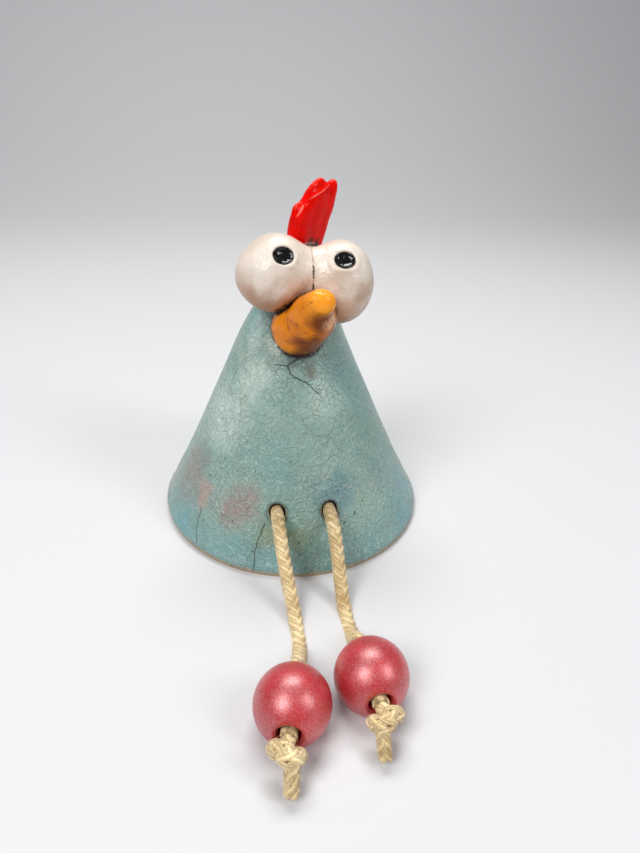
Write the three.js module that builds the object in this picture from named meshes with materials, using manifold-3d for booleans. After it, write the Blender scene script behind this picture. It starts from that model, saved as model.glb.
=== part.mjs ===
import * as THREE from 'three';
import { mergeVertices } from 'three/addons/utils/BufferGeometryUtils.js';
import Module from 'manifold-3d';

// A ceramic hen with dangling cord legs. Millimetres, +Z up, the face towards -Y.
// The origin is the middle of the foot that the hollow cone stands on.

// Body: a hand-built hollow cone of clay, slightly oval, that flares out to a rounded foot.
const headTop = 71.5;
const headRounding = 6; // height of the round top above the straight side
const coneTopAbove = 7; // the straight sides would meet this far above the head
const bodySlope = 0.466; // how much the radius grows for each millimetre down
const footFlare = 2.6; // how far the foot stands out past the straight side
const footFlareHeight = 7.9; // height over which the flare dies away
const footRounding = 4; // height of the rolled lower edge
const footTuck = 3.2; // how far the rolled edge draws in at the ground
const bodyWidthShare = 0.962; // squeeze across, and its inverse front to back
const wallThickness = 5;
const headShift = 2.2; // the head was pushed this far to the right while the clay was soft
const headShiftFrom = headTop - 23.5;
const headShiftTo = headTop - 1.5;
const cavityTop = headTop - 13.5;
const cavityRise = 2; // the hollow ends in a shallow point
// Where the rings of the wall are drawn, as shares of each stretch's height.
const footRings = [0, 0.25, 0.6, 1];
const sideRings = [0.04, 0.1, 0.18, 0.28, 0.39, 0.52, 0.67, 0.8, 0.91, 1];
const hollowRings = [1, 0.79, 0.59, 0.38, 0.21];

// Clearance between pieces that touch on the real figure.
const seatGap = 0.3;
const cutterReach = 5; // how far cutting shapes run past the clay

// Legs: cord through two poked holes, a bead and a knot at each end.
const cordRadius = 1.5;
const holeRadius = 1.95;
const holeSpacing = 12.4;
const holeHeight = 15.6;
const holeTilt = THREE.MathUtils.degToRad(8); // the poke slopes up towards the outside
const legPivotReach = 1.9; // the bend of the leg lies this far outside the wall
const insideDepth = 9; // straight stretch of cord behind each hole, before its loop
const beadRadius = 7;
const beadLength = 12.9;
const beadBoreRadius = 2.15;
const beadRimRounding = 0.6;
const beadRings = 10;
const beadTilt = THREE.MathUtils.degToRad(3); // the knot side of the bore is a little higher
const knotLength = 5.6; // along the bore
const knotWidth = 7;
const knotHeight = 6.4;
const knotTailReach = 4.9; // how far forward of the knot the cut tail ends
const knotTailSplay = 0.6; // to the side

// Eyes: [across, front to back, up] half sizes, and centres counted from the top of the head.
const eyeSeam = 2.8; // where the two balls are pressed flat against each other
const eyes = {
  left: { half: [8.8, 8.6, 8.7], centre: [-5.4, -10.5, -4.6], pupilAzimuth: 14.5, pupilRise: 38 },
  right: { half: [7.7, 8.5, 9.4], centre: [9.6, -10.5, -6.7], pupilAzimuth: -1, pupilRise: 46.5 },
};
const pupilRadius = 2.2; // of the dimple that the black glaze lies in
const pupilDepth = 1.2;
const pupilGlaze = 0.55; // thickness of the black pool
const pupilGlazeEdge = 0.3;

// Beak: a carrot of clay with a round tip, pointing forwards, up and a little right.
const beakRoot = new THREE.Vector3(0.1, -12.5, headTop - 16.9);
const beakTip = new THREE.Vector3(4, -22.8, headTop - 8.1);
const beakRootRadius = 6.6;
const beakTipRadius = 2.9;
const beakSunk = 4.6; // how far the root reaches back into the head
// Its taper: [share of the way from tip radius to root radius, share of its length].
const beakTaper = [[1, 0.06], [0.9, 0.26], [0.57, 0.48], [0.22, 0.7], [0.02, 0.88]];

// Comb: a pinched blade with three points.
const combFoot = new THREE.Vector3(2.4, 1.2, headTop - 0.5);
const combSunk = 3.5;
const combThickness = 4.4;
const combPetals = [
  { foot: -2.7, tip: -6, height: 9.8, half: 2.5 },
  { foot: -0.3, tip: -0.7, height: 15, half: 3.4 },
  { foot: 2.2, tip: 3.9, height: 14.5, half: 3.1 },
];
// Outline of one petal: [share of its half width, share of its height].
const petalShape = [[1, 0.25], [0.95, 0.5], [0.84, 0.7], [0.66, 0.86], [0.38, 0.96]];
const combTurn = THREE.MathUtils.degToRad(45); // from straight fore and aft
const combLean = Math.tan(THREE.MathUtils.degToRad(17)); // to the right

// Routes of the two legs: [across, forward of the bend, height], from the bend at the hole down to
// the ground, along it and up into the bead. Across is counted from the hole.
const legRoutes = {
  left: [
    [0, 0, 15.86], [0, 1, 15.93], [0, 2.7, 15.72], [0.1, 4.3, 15.1], [0.2, 5.7, 14.1],
    [0.7, 9.5, 10.7], [1.4, 13.3, 7.25], [2.1, 17.1, 3.85], [2.35, 19, 2.57], [2.5, 21, 1.78],
    [2.6, 23.1, 1.54], [2.6, 25, 1.54], [2.5, 26.8, 1.8], [2.3, 28.5, 2.55], [1.9, 30.9, 4.1],
    [1.45, 33.3, 5.62], [1.15, 34.8, 6.35], [0.8, 36.5, 6.66],
  ],
  right: [
    [0, 0, 15.86], [0, 1, 15.93], [0, 2.9, 15.66], [0.1, 4.8, 14.8], [0.2, 6.35, 13.4],
    [0.5, 10, 9.05], [0.8, 13.7, 4.7], [0.95, 15.65, 2.95], [1.1, 18.1, 1.85], [1.2, 20, 1.54],
    [1.3, 21.4, 1.54], [1.4, 23.6, 1.9], [1.5, 25.6, 3], [1.65, 28.1, 5.15], [1.75, 30, 6.24],
    [1.85, 32, 6.66],
  ],
};
const legYaw = {
  left: THREE.MathUtils.degToRad(-11), // the last stretch points a little to the hen's right
  right: THREE.MathUtils.degToRad(3),
};
const tubeSides = 8;
const legSteps = 28;
const tailSteps = 5;
const insideSteps = 22;

// Colours, roughness and metalness of the finishes.
const finishes = {
  body: new THREE.MeshStandardMaterial({ color: 0x6f9a9a, roughness: 0.35, metalness: 0 }),
  eye: new THREE.MeshStandardMaterial({ color: 0xdcd0c4, roughness: 0.3, metalness: 0 }),
  pupil: new THREE.MeshStandardMaterial({ color: 0x0b0b0c, roughness: 0.12, metalness: 0 }),
  beak: new THREE.MeshStandardMaterial({ color: 0xe08a1e, roughness: 0.25, metalness: 0 }),
  comb: new THREE.MeshStandardMaterial({ color: 0xd8180f, roughness: 0.25, metalness: 0 }),
  cord: new THREE.MeshStandardMaterial({ color: 0xcdb07c, roughness: 0.85, metalness: 0 }),
  bead: new THREE.MeshStandardMaterial({ color: 0xc2304a, roughness: 0.35, metalness: 0 }),
};

const wasm = await Module();
wasm.setup();

function toSolid(geometry) {
  const bare = geometry.index ? geometry.clone() : geometry;
  bare.deleteAttribute('normal');
  bare.deleteAttribute('uv');
  const merged = mergeVertices(bare, 1e-4);
  return new wasm.Manifold(new wasm.Mesh({
    numProp: 3,
    vertProperties: new Float32Array(merged.attributes.position.array),
    triVerts: new Uint32Array(merged.index.array),
  }));
}

function toGeometry(solid) {
  const mesh = solid.getMesh();
  const geometry = new THREE.BufferGeometry();
  geometry.setAttribute('position', new THREE.BufferAttribute(mesh.vertProperties, 3));
  geometry.setIndex(new THREE.BufferAttribute(mesh.triVerts, 1));
  geometry.computeVertexNormals();
  return geometry;
}

const hen = new THREE.Group();

function addPiece(name, solid, material) {
  const mesh = new THREE.Mesh(toGeometry(solid), material);
  mesh.name = name;
  hen.add(mesh);
}

// The cone's outer radius at a height, before it is squeezed oval.
function coneRadius(height) {
  const z = Math.max(height, footRounding);
  const side = bodySlope * (headTop + coneTopAbove - z) + footFlare * Math.exp(-z / footFlareHeight);
  const below = (footRounding - height) / footRounding;
  if (below <= 0) {
    return side;
  }
  return side - footTuck * (1 - Math.sqrt(1 - Math.min(1, below) ** 2));
}

// Oval squeeze and the sideways push of the head.
function shapeByHand(geometry) {
  const position = geometry.attributes.position;
  for (let i = 0; i < position.count; i += 1) {
    const push = headShift * THREE.MathUtils.smoothstep(position.getZ(i), headShiftFrom, headShiftTo);
    position.setX(i, position.getX(i) * bodyWidthShare + push);
    position.setY(i, position.getY(i) / bodyWidthShare);
  }
  return geometry;
}

const shoulder = headTop - headRounding;
const wallRings = [
  ...footRings.map((share) => share * footRounding),
  ...sideRings.map((share) => THREE.MathUtils.lerp(footRounding, shoulder, share)),
];

// The outer side from a height up to the round top, as profile points grown outwards by a clearance.
function outerSide(fromHeight, grow) {
  const side = wallRings
    .filter((height) => height >= fromHeight)
    .map((height) => new THREE.Vector2(coneRadius(height) + grow, height));
  const shoulderRadius = coneRadius(shoulder) + grow;
  for (const degrees of [22, 45, 68]) {
    const angle = THREE.MathUtils.degToRad(degrees);
    side.push(new THREE.Vector2(
      shoulderRadius * Math.cos(angle),
      shoulder + (headRounding + grow) * Math.sin(angle),
    ));
  }
  side.push(new THREE.Vector2(0, headTop + grow));
  return side;
}

function turned(profile, segments) {
  return shapeByHand(new THREE.LatheGeometry(profile, segments).rotateX(Math.PI / 2));
}

// A point on the outer wall, where a line across meets it at the front.
function frontOfWall(across, height) {
  const radius = coneRadius(height);
  const share = across / (radius * bodyWidthShare);
  return -(radius / bodyWidthShare) * Math.sqrt(1 - share * share);
}

// Body shell with its hollow, open at the foot.
const wallAcross = wallThickness * Math.sqrt(1 + bodySlope ** 2);
const hollow = [
  new THREE.Vector2(0, cavityTop + cavityRise),
  ...[...hollowRings.map((share) => share * cavityTop), footRounding, 0].map((height) => (
    new THREE.Vector2(coneRadius(Math.max(height, footRounding)) - wallAcross, height)
  )),
];
const shell = toSolid(turned([...hollow, ...outerSide(0, 0)], 56));

const holeOut = new THREE.Vector3(0, -Math.cos(holeTilt), Math.sin(holeTilt));

// A straight round rod from one point to another.
function rod(from, to, radius, segments) {
  const length = from.distanceTo(to);
  const direction = to.clone().sub(from).normalize();
  const turn = new THREE.Quaternion().setFromUnitVectors(new THREE.Vector3(0, 1, 0), direction);
  const geometry = new THREE.CylinderGeometry(radius, radius, length, segments);
  geometry.applyQuaternion(turn);
  geometry.translate(...from.clone().add(to).multiplyScalar(0.5).toArray());
  return toSolid(geometry);
}

function holeMouth(side) {
  const across = (side * holeSpacing) / 2;
  return new THREE.Vector3(across, frontOfWall(across, holeHeight), holeHeight);
}

let body = shell;
for (const side of [-1, 1]) {
  const mouth = holeMouth(side);
  body = body.subtract(rod(
    mouth.clone().addScaledVector(holeOut, -wallThickness - cutterReach),
    mouth.clone().addScaledVector(holeOut, cutterReach),
    holeRadius,
    16,
  ));
}
addPiece('body', body, finishes.body);

// The head, grown by the seat gap, cuts whatever is pressed onto it.
const cutterFoot = wallRings[7];
const headCutter = toSolid(turned([new THREE.Vector2(0, cutterFoot), ...outerSide(cutterFoot, seatGap)], 48));

// Eyes: clay balls pressed flat against each other, with a dimple for the black glaze.
function eyeCentre(eye) {
  return new THREE.Vector3(...eye.centre).setZ(headTop + eye.centre[2]);
}

function ball(eye, grow) {
  const geometry = new THREE.SphereGeometry(1, 28, 18).rotateX(Math.PI / 2);
  geometry.scale(...eye.half.map((half) => half + grow));
  return toSolid(geometry.translate(...eyeCentre(eye).toArray()));
}

// A block larger than an eye, on one side of the seam.
function seamSide(side) {
  const size = 4 * eyes.left.half[0];
  const across = eyeSeam + (side * (seatGap + size)) / 2;
  const middle = eyeCentre(eyes.left).setX(across);
  return toSolid(new THREE.BoxGeometry(size, size, size).translate(...middle.toArray()));
}

function pupilPlace(eye) {
  const azimuth = THREE.MathUtils.degToRad(eye.pupilAzimuth);
  const rise = THREE.MathUtils.degToRad(eye.pupilRise);
  const look = new THREE.Vector3(
    Math.sin(azimuth) * Math.cos(rise),
    -Math.cos(azimuth) * Math.cos(rise),
    Math.sin(rise),
  );
  const reach = 1 / Math.hypot(look.x / eye.half[0], look.y / eye.half[1], look.z / eye.half[2]);
  const surface = eyeCentre(eye).addScaledVector(look, reach);
  return { look, surface };
}

// The black pool: flat below, slightly domed above, lying on the floor of its dimple.
function pupilPool(place) {
  const radius = pupilRadius - seatGap;
  const profile = [
    new THREE.Vector2(0, 0),
    new THREE.Vector2(radius, 0),
    new THREE.Vector2(radius, pupilGlazeEdge),
    new THREE.Vector2(radius / 2, THREE.MathUtils.lerp(pupilGlazeEdge, pupilGlaze, 0.7)),
    new THREE.Vector2(0, pupilGlaze),
  ];
  const turn = new THREE.Quaternion().setFromUnitVectors(new THREE.Vector3(0, 1, 0), place.look);
  const floor = place.surface.clone().addScaledVector(place.look, seatGap - pupilDepth);
  const geometry = new THREE.LatheGeometry(profile, 20).applyQuaternion(turn);
  return toSolid(geometry.translate(...floor.toArray()));
}

for (const [name, side] of [['left', -1], ['right', 1]]) {
  const eye = eyes[name];
  const place = pupilPlace(eye);
  const dimple = rod(
    place.surface.clone().addScaledVector(place.look, -pupilDepth),
    place.surface.clone().addScaledVector(place.look, cutterReach),
    pupilRadius,
    20,
  );
  const pressed = ball(eye, 0).intersect(seamSide(side));
  addPiece(`eye_${name}`, pressed.subtract(headCutter).subtract(dimple), finishes.eye);
  addPiece(`pupil_${name}`, pupilPool(place), finishes.pupil);
}
const eyesCutter = ball(eyes.left, seatGap).add(ball(eyes.right, seatGap));

// Beak: a turned carrot, its root cut to the head and its back to the eyes.
const beakAxis = beakTip.clone().sub(beakRoot);
const beakReach = beakAxis.length();
const beakProfile = [
  [0, -beakSunk],
  [beakRootRadius * 0.62, -beakSunk * 0.85],
  [beakRootRadius * 0.92, -beakSunk * 0.4],
  ...beakTaper.map(([wide, along]) => (
    [THREE.MathUtils.lerp(beakTipRadius, beakRootRadius, wide), beakReach * along]
  )),
  ...[0, 25, 50, 72].map((degrees) => {
    const angle = THREE.MathUtils.degToRad(degrees);
    return [beakTipRadius * Math.cos(angle), beakReach + beakTipRadius * Math.sin(angle)];
  }),
  [0, beakReach + beakTipRadius],
].map(([radius, along]) => new THREE.Vector2(radius, along));
const beakTurn = new THREE.Quaternion().setFromUnitVectors(
  new THREE.Vector3(0, 1, 0),
  beakAxis.clone().normalize(),
);
const beakGeometry = new THREE.LatheGeometry(beakProfile, 24).applyQuaternion(beakTurn);
const beak = toSolid(beakGeometry.translate(...beakRoot.toArray()));
addPiece('beak', beak.subtract(headCutter).subtract(eyesCutter), finishes.beak);

// Comb: three pinched petals side by side, flat, turned and leaning together.
function petal({ foot, tip, height, half }) {
  const profile = [
    [0, -combSunk],
    [half * 0.8, -combSunk],
    [half, -combSunk * 0.3],
    ...petalShape.map(([wide, up]) => [half * wide, height * up]),
    [0, height],
  ].map(([radius, up]) => new THREE.Vector2(radius, up));
  const geometry = new THREE.LatheGeometry(profile, 20).rotateX(Math.PI / 2);
  const position = geometry.attributes.position;
  for (let i = 0; i < position.count; i += 1) {
    const up = position.getZ(i);
    const along = position.getX(i) + THREE.MathUtils.lerp(foot, tip, up / height);
    const through = (position.getY(i) / half) * (combThickness / 2);
    position.setX(i, along * Math.sin(combTurn) - through * Math.cos(combTurn) + combLean * up);
    position.setY(i, along * Math.cos(combTurn) + through * Math.sin(combTurn));
  }
  return toSolid(geometry.translate(...combFoot.toArray()));
}

const comb = combPetals.map(petal).reduce((joined, next) => joined.add(next));
addPiece('comb', comb.subtract(headCutter).subtract(eyesCutter), finishes.comb);

// Cord: a tube along a smooth line through the points.
function tube(points, radius, steps) {
  const section = new THREE.Shape();
  for (let i = 0; i <= tubeSides; i += 1) {
    const angle = (2 * Math.PI * (i + 0.5)) / tubeSides;
    const corner = [radius * Math.cos(angle), radius * Math.sin(angle)];
    if (i === 0) {
      section.moveTo(...corner);
    } else {
      section.lineTo(...corner);
    }
  }
  return toSolid(new THREE.ExtrudeGeometry(section, {
    steps,
    bevelEnabled: false,
    extrudePath: new THREE.CatmullRomCurve3(points, false, 'centripetal'),
  }));
}

function blob(centre, half, rings, turn = new THREE.Quaternion()) {
  const geometry = new THREE.SphereGeometry(1, rings * 2, rings).scale(...half);
  geometry.applyQuaternion(turn);
  return toSolid(geometry.translate(...centre.toArray()));
}

// Where the cord bends outside its hole: the leg turns about this point.
function legPivot(side) {
  return holeMouth(side).addScaledVector(holeOut, legPivotReach);
}

for (const [name, side] of [['left', -1], ['right', 1]]) {
  const pivot = legPivot(side);
  const route = legRoutes[name].map(([across, forward, height]) => (
    new THREE.Vector3(pivot.x + across, pivot.y - forward, height)
  ));
  route[0] = pivot;
  const yaw = legYaw[name];
  const boreAxis = new THREE.Vector3(
    Math.sin(yaw) * Math.cos(beadTilt),
    -Math.cos(yaw) * Math.cos(beadTilt),
    Math.sin(beadTilt),
  );
  const beadCentre = route.at(-1).clone().addScaledVector(boreAxis, beadLength / 2);
  beadCentre.z = beadRadius;
  route.push(beadCentre);
  const beadFace = beadCentre.clone().addScaledVector(boreAxis, beadLength / 2);
  route.push(beadFace);

  // The leg's cord ends in a round bend at the hole, so it can turn there.
  const bend = blob(pivot, [cordRadius, cordRadius, cordRadius], 8);
  addPiece(`leg_${name}`, tube(route, cordRadius, legSteps).add(bend), finishes.cord);

  // Bead: turned from wood, with a rounded rim at each end of its bore.
  const halfLength = beadLength / 2;
  const rimRadius = beadBoreRadius + beadRimRounding;
  const rimMiddle = beadRimRounding * (1 - Math.SQRT1_2);
  const rimAngle = Math.acos(rimRadius / beadRadius);
  const swell = halfLength / Math.sin(rimAngle);
  const beadProfile = [
    new THREE.Vector2(beadBoreRadius, beadRimRounding - halfLength),
    new THREE.Vector2(beadBoreRadius + rimMiddle, rimMiddle - halfLength),
  ];
  for (let i = 0; i <= beadRings; i += 1) {
    const angle = THREE.MathUtils.lerp(-rimAngle, rimAngle, i / beadRings);
    beadProfile.push(new THREE.Vector2(beadRadius * Math.cos(angle), swell * Math.sin(angle)));
  }
  beadProfile.push(
    new THREE.Vector2(beadBoreRadius + rimMiddle, halfLength - rimMiddle),
    new THREE.Vector2(beadBoreRadius, halfLength - beadRimRounding),
    new THREE.Vector2(beadBoreRadius, beadRimRounding - halfLength),
  );
  const alongBore = new THREE.Quaternion().setFromUnitVectors(new THREE.Vector3(0, 1, 0), boreAxis);
  const beadGeometry = new THREE.LatheGeometry(beadProfile, 24).applyQuaternion(alongBore);
  addPiece(`bead_${name}`, toSolid(beadGeometry.translate(...beadCentre.toArray())), finishes.bead);

  // Knot: a lump drawn up to the bead, and the cut tail that reaches the ground.
  const knotCentre = beadFace.clone().addScaledVector(boreAxis, seatGap + knotLength / 2);
  const lump = blob(knotCentre, [knotWidth / 2, knotLength / 2, knotHeight / 2], 10, alongBore);
  const tailEnd = new THREE.Vector3(
    knotCentre.x + side * knotTailSplay,
    knotCentre.y - knotTailReach,
    cordRadius + 0.1,
  );
  const tailRoute = [[0, 0], [0.4, 0.4], [0.65, 0.8], [1, 1]].map(([forward, down]) => new THREE.Vector3(
    THREE.MathUtils.lerp(knotCentre.x, tailEnd.x, down),
    THREE.MathUtils.lerp(knotCentre.y, tailEnd.y, forward),
    THREE.MathUtils.lerp(knotCentre.z, tailEnd.z, down),
  ));
  addPiece(`knot_${name}`, lump.add(tube(tailRoute, cordRadius, tailSteps)), finishes.cord);
}

// The cord behind the wall: in at one hole, round in a loop and out at the other.
const [enter, leave] = [-1, 1].map((side) => {
  const start = legPivot(side).addScaledVector(holeOut, -(cordRadius + seatGap));
  return [0, 0.4, 0.8, 1].map((share) => start.clone().addScaledVector(holeOut, -share * insideDepth));
});
const loopRadius = holeSpacing / 2;
const loopCentre = enter.at(-1).clone().lerp(leave.at(-1), 0.5);
const loop = [30, 60, 90, 120, 150].map((degrees) => {
  const angle = THREE.MathUtils.degToRad(degrees);
  const across = new THREE.Vector3(-loopRadius * Math.cos(angle), 0, 0);
  return loopCentre.clone().add(across).addScaledVector(holeOut, -loopRadius * Math.sin(angle));
});
addPiece('cord_inside', tube([...enter, ...loop, ...leave.reverse()], cordRadius, insideSteps), finishes.cord);

export default hen;
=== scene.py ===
from math import cos, exp, pi, radians, sin, sqrt, tau

import bmesh
import bpy
from mathutils import Matrix, Quaternion, Vector, noise
from mathutils.bvhtree import BVHTree


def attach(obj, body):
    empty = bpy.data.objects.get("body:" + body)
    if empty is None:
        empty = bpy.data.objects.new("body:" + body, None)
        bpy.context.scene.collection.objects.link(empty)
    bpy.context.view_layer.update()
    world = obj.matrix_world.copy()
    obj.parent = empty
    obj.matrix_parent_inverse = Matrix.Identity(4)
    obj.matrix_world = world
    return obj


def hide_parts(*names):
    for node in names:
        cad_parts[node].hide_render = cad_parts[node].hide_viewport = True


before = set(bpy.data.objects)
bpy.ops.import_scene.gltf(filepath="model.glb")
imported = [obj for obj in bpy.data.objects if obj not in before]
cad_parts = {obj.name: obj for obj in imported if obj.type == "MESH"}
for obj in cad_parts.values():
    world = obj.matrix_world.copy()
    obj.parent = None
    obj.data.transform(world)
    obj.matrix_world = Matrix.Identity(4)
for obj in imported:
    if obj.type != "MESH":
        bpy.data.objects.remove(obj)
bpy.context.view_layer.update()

scene = bpy.context.scene
scene.view_settings.view_transform = "Standard"

# Camera
# It stands a hand's length in front of the hen and a little to the hen's right, looking down at
# it, as a phone does when it is held close.
camera = bpy.data.objects.new("camera", bpy.data.cameras.new("camera"))
scene.collection.objects.link(camera)
camera_look = Vector((0.1296, 0.8774, -0.4619)).to_track_quat("-Z", "Y")
camera.rotation_euler = (camera_look @ Quaternion((0, 0, 1), radians(1.87))).to_euler()
camera.location = (-0.01364, -0.14426, 0.09814)
camera.data.lens = 25.11
camera.data.sensor_width = 36
camera.data.clip_start = 0.005
scene.camera = camera

# Studio
# A pale sweep of paper that curves up behind the hen, a large soft lamp at the left and front, a
# smaller one at the right, a third overhead, and an even pale room around.
sweep_line = [(-1.2, 0.0), (0.35, 0.0), (0.5, 0.02), (0.62, 0.08), (0.7, 0.2), (0.74, 0.4), (0.75, 1.2)]
sweep_mesh = bpy.data.meshes.new("paper_sweep")
sweep_mesh.from_pydata(
    [(x, y, z) for y, z in sweep_line for x in (-1.6, 1.6)], [],
    [(2 * i, 2 * i + 1, 2 * i + 3, 2 * i + 2) for i in range(len(sweep_line) - 1)],
)
sweep = bpy.data.objects.new("paper_sweep", sweep_mesh)
scene.collection.objects.link(sweep)
rounded = sweep.modifiers.new("rounded", "SUBSURF")
rounded.levels = rounded.render_levels = 3
sweep_mesh.polygons.foreach_set("use_smooth", [True] * len(sweep_mesh.polygons))
paper = bpy.data.materials.new("pale paper")
paper.use_nodes = True
paper.node_tree.nodes["Principled BSDF"].inputs["Base Color"].default_value = (0.62, 0.62, 0.63, 1)
paper.node_tree.nodes["Principled BSDF"].inputs["Roughness"].default_value = 0.75
sweep_mesh.materials.append(paper)
world = bpy.data.worlds.new("pale room")
world.use_nodes = True
world.node_tree.nodes["Background"].inputs["Color"].default_value = (0.8, 0.82, 0.85, 1)
world.node_tree.nodes["Background"].inputs["Strength"].default_value = 0.3
scene.world = world
for name, where, size, watts in (
    ("lamp_left", (-0.34, -0.36, 0.5), (0.3, 0.34), 3.0),
    ("lamp_right", (0.4, -0.3, 0.42), (0.16, 0.3), 1.3),
    ("lamp_overhead", (0.0, 0.2, 0.6), (0.4, 0.16), 2.6),
):
    lamp = bpy.data.objects.new(name, bpy.data.lights.new(name, "AREA"))
    lamp.data.shape = "RECTANGLE"
    lamp.data.size, lamp.data.size_y = size
    lamp.data.energy = watts
    lamp.location = where
    lamp.rotation_euler = (Vector((0, -0.01, 0.04)) - Vector(where)).to_track_quat("-Z", "Y").to_euler()
    scene.collection.objects.link(lamp)


# Legs
# Two ends of one waxed cotton cord, 3 mm thick and braided from eight flat strands. Each comes
# out of its poked hole, drops to the ground, lies along it and ends inside its bead.
def put(tree, kind, inputs=None, **settings):
    """Adds a node to a tree, with its settings and with a value or a link for each input."""
    made = tree.nodes.new(kind)
    for name, value in settings.items():
        setattr(made, name, value)
    for key, value in (inputs or {}).items():
        if isinstance(value, bpy.types.NodeSocket):
            tree.links.new(value, made.inputs[key])
        else:
            made.inputs[key].default_value = value
    return made


def sums(tree, operation, *values):
    """The result of a math node."""
    return put(tree, "ShaderNodeMath", dict(enumerate(values)), operation=operation).outputs[0]


def vectors(tree, operation, *values):
    """The vector that a vector math node gives."""
    return put(tree, "ShaderNodeVectorMath", dict(enumerate(values)), operation=operation).outputs["Vector"]


def new_group(name, kind, inputs, outputs):
    """A node group with named sockets, and its two ends."""
    group = bpy.data.node_groups.new(name, kind)
    for way, sockets in (("INPUT", inputs), ("OUTPUT", outputs)):
        for socket_name, socket_kind in sockets.items():
            group.interface.new_socket(socket_name, in_out=way, socket_type="NodeSocket" + socket_kind)
    return group, group.nodes.new("NodeGroupInput").outputs, group.nodes.new("NodeGroupOutput")


def colour(code, alpha=1.0):
    """A colour as it looks on screen, such as e08a1e, in the linear values that shaders take."""
    shades = [int(code[i:i + 2], 16) / 255 for i in (0, 2, 4)]
    return [s / 12.92 if s < 0.04045 else ((s + 0.055) / 1.055) ** 2.4 for s in shades] + [alpha]


def smooth_path(points, step=0.0004):
    """Points close together on a smooth line through the given ones."""
    knots = [Vector(p) for p in points]
    knots = [knots[0] * 2 - knots[1]] + knots + [knots[-1] * 2 - knots[-2]]
    path = []
    for a, b, c, d in zip(knots, knots[1:], knots[2:], knots[3:]):
        count = max(2, round((c - b).length / step))
        for i in range(count):
            t = i / count
            path.append(0.5 * (2 * b + (c - a) * t + (2 * a - 5 * b + 4 * c - d) * t ** 2
                               + (3 * b - a - 3 * c + d) * t ** 3))
    path.append(knots[-2])
    return path


def as_object(name, vertices, edges, faces):
    """A new object with a mesh of its own."""
    mesh = bpy.data.meshes.new(name)
    mesh.from_pydata(vertices, edges, faces)
    made = bpy.data.objects.new(name, mesh)
    scene.collection.objects.link(made)
    return made


def finished(piece):
    """Turns the piece's modifiers into its plain mesh."""
    bpy.context.view_layer.update()
    seen = piece.evaluated_get(bpy.context.evaluated_depsgraph_get())
    mesh = bpy.data.meshes.new_from_object(seen)
    piece.modifiers.clear()
    piece.data = mesh
    mesh.name = piece.name
    return piece


braid, braid_in, braid_out = new_group(
    "braid along a path", "GeometryNodeTree",
    {"Path": "Geometry", "Pitch": "Float", "Lay radius": "Float", "Weave depth": "Float",
     "Strand width": "Float", "Strand thickness": "Float", "Fibres": "Float", "Material": "Material"},
    {"Braid": "Geometry"},
)
line = put(braid, "GeometryNodeMeshToCurve", {"Mesh": braid_in["Path"]}).outputs[0]
line = put(braid, "GeometryNodeResampleCurve", {"Curve": line, "Length": 0.0003}, mode="LENGTH").outputs[0]
copies = put(braid, "GeometryNodeDuplicateElements", {"Geometry": line, "Amount": 8}, domain="SPLINE")
number = copies.outputs["Duplicate Index"]
slant = sums(braid, "SUBTRACT", sums(braid, "MULTIPLY", sums(braid, "LESS_THAN", number, 4.0), 2.0), 1.0)
along = put(braid, "GeometryNodeSplineParameter").outputs["Length"]
turns = sums(braid, "MULTIPLY", sums(braid, "DIVIDE", along, braid_in["Pitch"]), slant)
quarter = sums(braid, "DIVIDE", sums(braid, "MODULO", number, 4.0), 4.0)
angle = sums(braid, "MULTIPLY", sums(braid, "ADD", turns, quarter), tau)
crossing = sums(braid, "ADD", sums(braid, "MULTIPLY", turns, 8.0), sums(braid, "MULTIPLY", quarter, 8.0))
wave = sums(braid, "COSINE", sums(braid, "SUBTRACT", sums(braid, "MULTIPLY", crossing, pi / 2), pi / 4))
lift = sums(braid, "MULTIPLY", sums(braid, "MULTIPLY", wave, slant), braid_in["Weave depth"])
reach = sums(braid, "ADD", braid_in["Lay radius"], lift)
side = put(braid, "GeometryNodeInputNormal").outputs[0]
other = vectors(braid, "CROSS_PRODUCT", put(braid, "GeometryNodeInputTangent").outputs[0], side)
out = vectors(
    braid, "ADD",
    put(braid, "ShaderNodeVectorMath", {0: side, "Scale": sums(braid, "COSINE", angle)}, operation="SCALE").outputs[0],
    put(braid, "ShaderNodeVectorMath", {0: other, "Scale": sums(braid, "SINE", angle)}, operation="SCALE").outputs[0],
)
kept = put(braid, "GeometryNodeStoreNamedAttribute", {"Geometry": copies.outputs[0], "Name": "along", "Value": along},
           data_type="FLOAT", domain="POINT").outputs[0]
kept = put(braid, "GeometryNodeStoreNamedAttribute", {"Geometry": kept, "Name": "strand", "Value": number},
           data_type="FLOAT", domain="POINT").outputs[0]
kept = put(braid, "GeometryNodeStoreNamedAttribute", {"Geometry": kept, "Name": "radial", "Value": out},
           data_type="FLOAT_VECTOR", domain="POINT").outputs[0]
moved = put(braid, "ShaderNodeVectorMath", {0: out, "Scale": reach}, operation="SCALE").outputs[0]
strands = put(braid, "GeometryNodeSetPosition", {"Geometry": kept, "Offset": moved}).outputs[0]
radial = put(braid, "GeometryNodeInputNamedAttribute", {"Name": "radial"}, data_type="FLOAT_VECTOR").outputs[0]
strands = put(braid, "GeometryNodeSetCurveNormal", {"Curve": strands, "Normal": radial}, mode="FREE").outputs[0]
section = put(braid, "GeometryNodeCurvePrimitiveCircle", {"Resolution": 10, "Radius": 0.5}, mode="RADIUS").outputs[0]
section = put(braid, "GeometryNodeStoreNamedAttribute", {
    "Geometry": section, "Name": "around", "Value": put(braid, "GeometryNodeSplineParameter").outputs["Factor"],
}, data_type="FLOAT", domain="POINT").outputs[0]
flat = put(braid, "ShaderNodeCombineXYZ", {0: braid_in["Strand thickness"], 1: braid_in["Strand width"], 2: 1.0})
section = put(braid, "GeometryNodeTransform", {"Geometry": section, "Scale": flat.outputs[0]}).outputs[0]
strands = put(braid, "GeometryNodeCurveToMesh", {"Curve": strands, "Profile Curve": section, "Fill Caps": True}).outputs[0]
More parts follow.
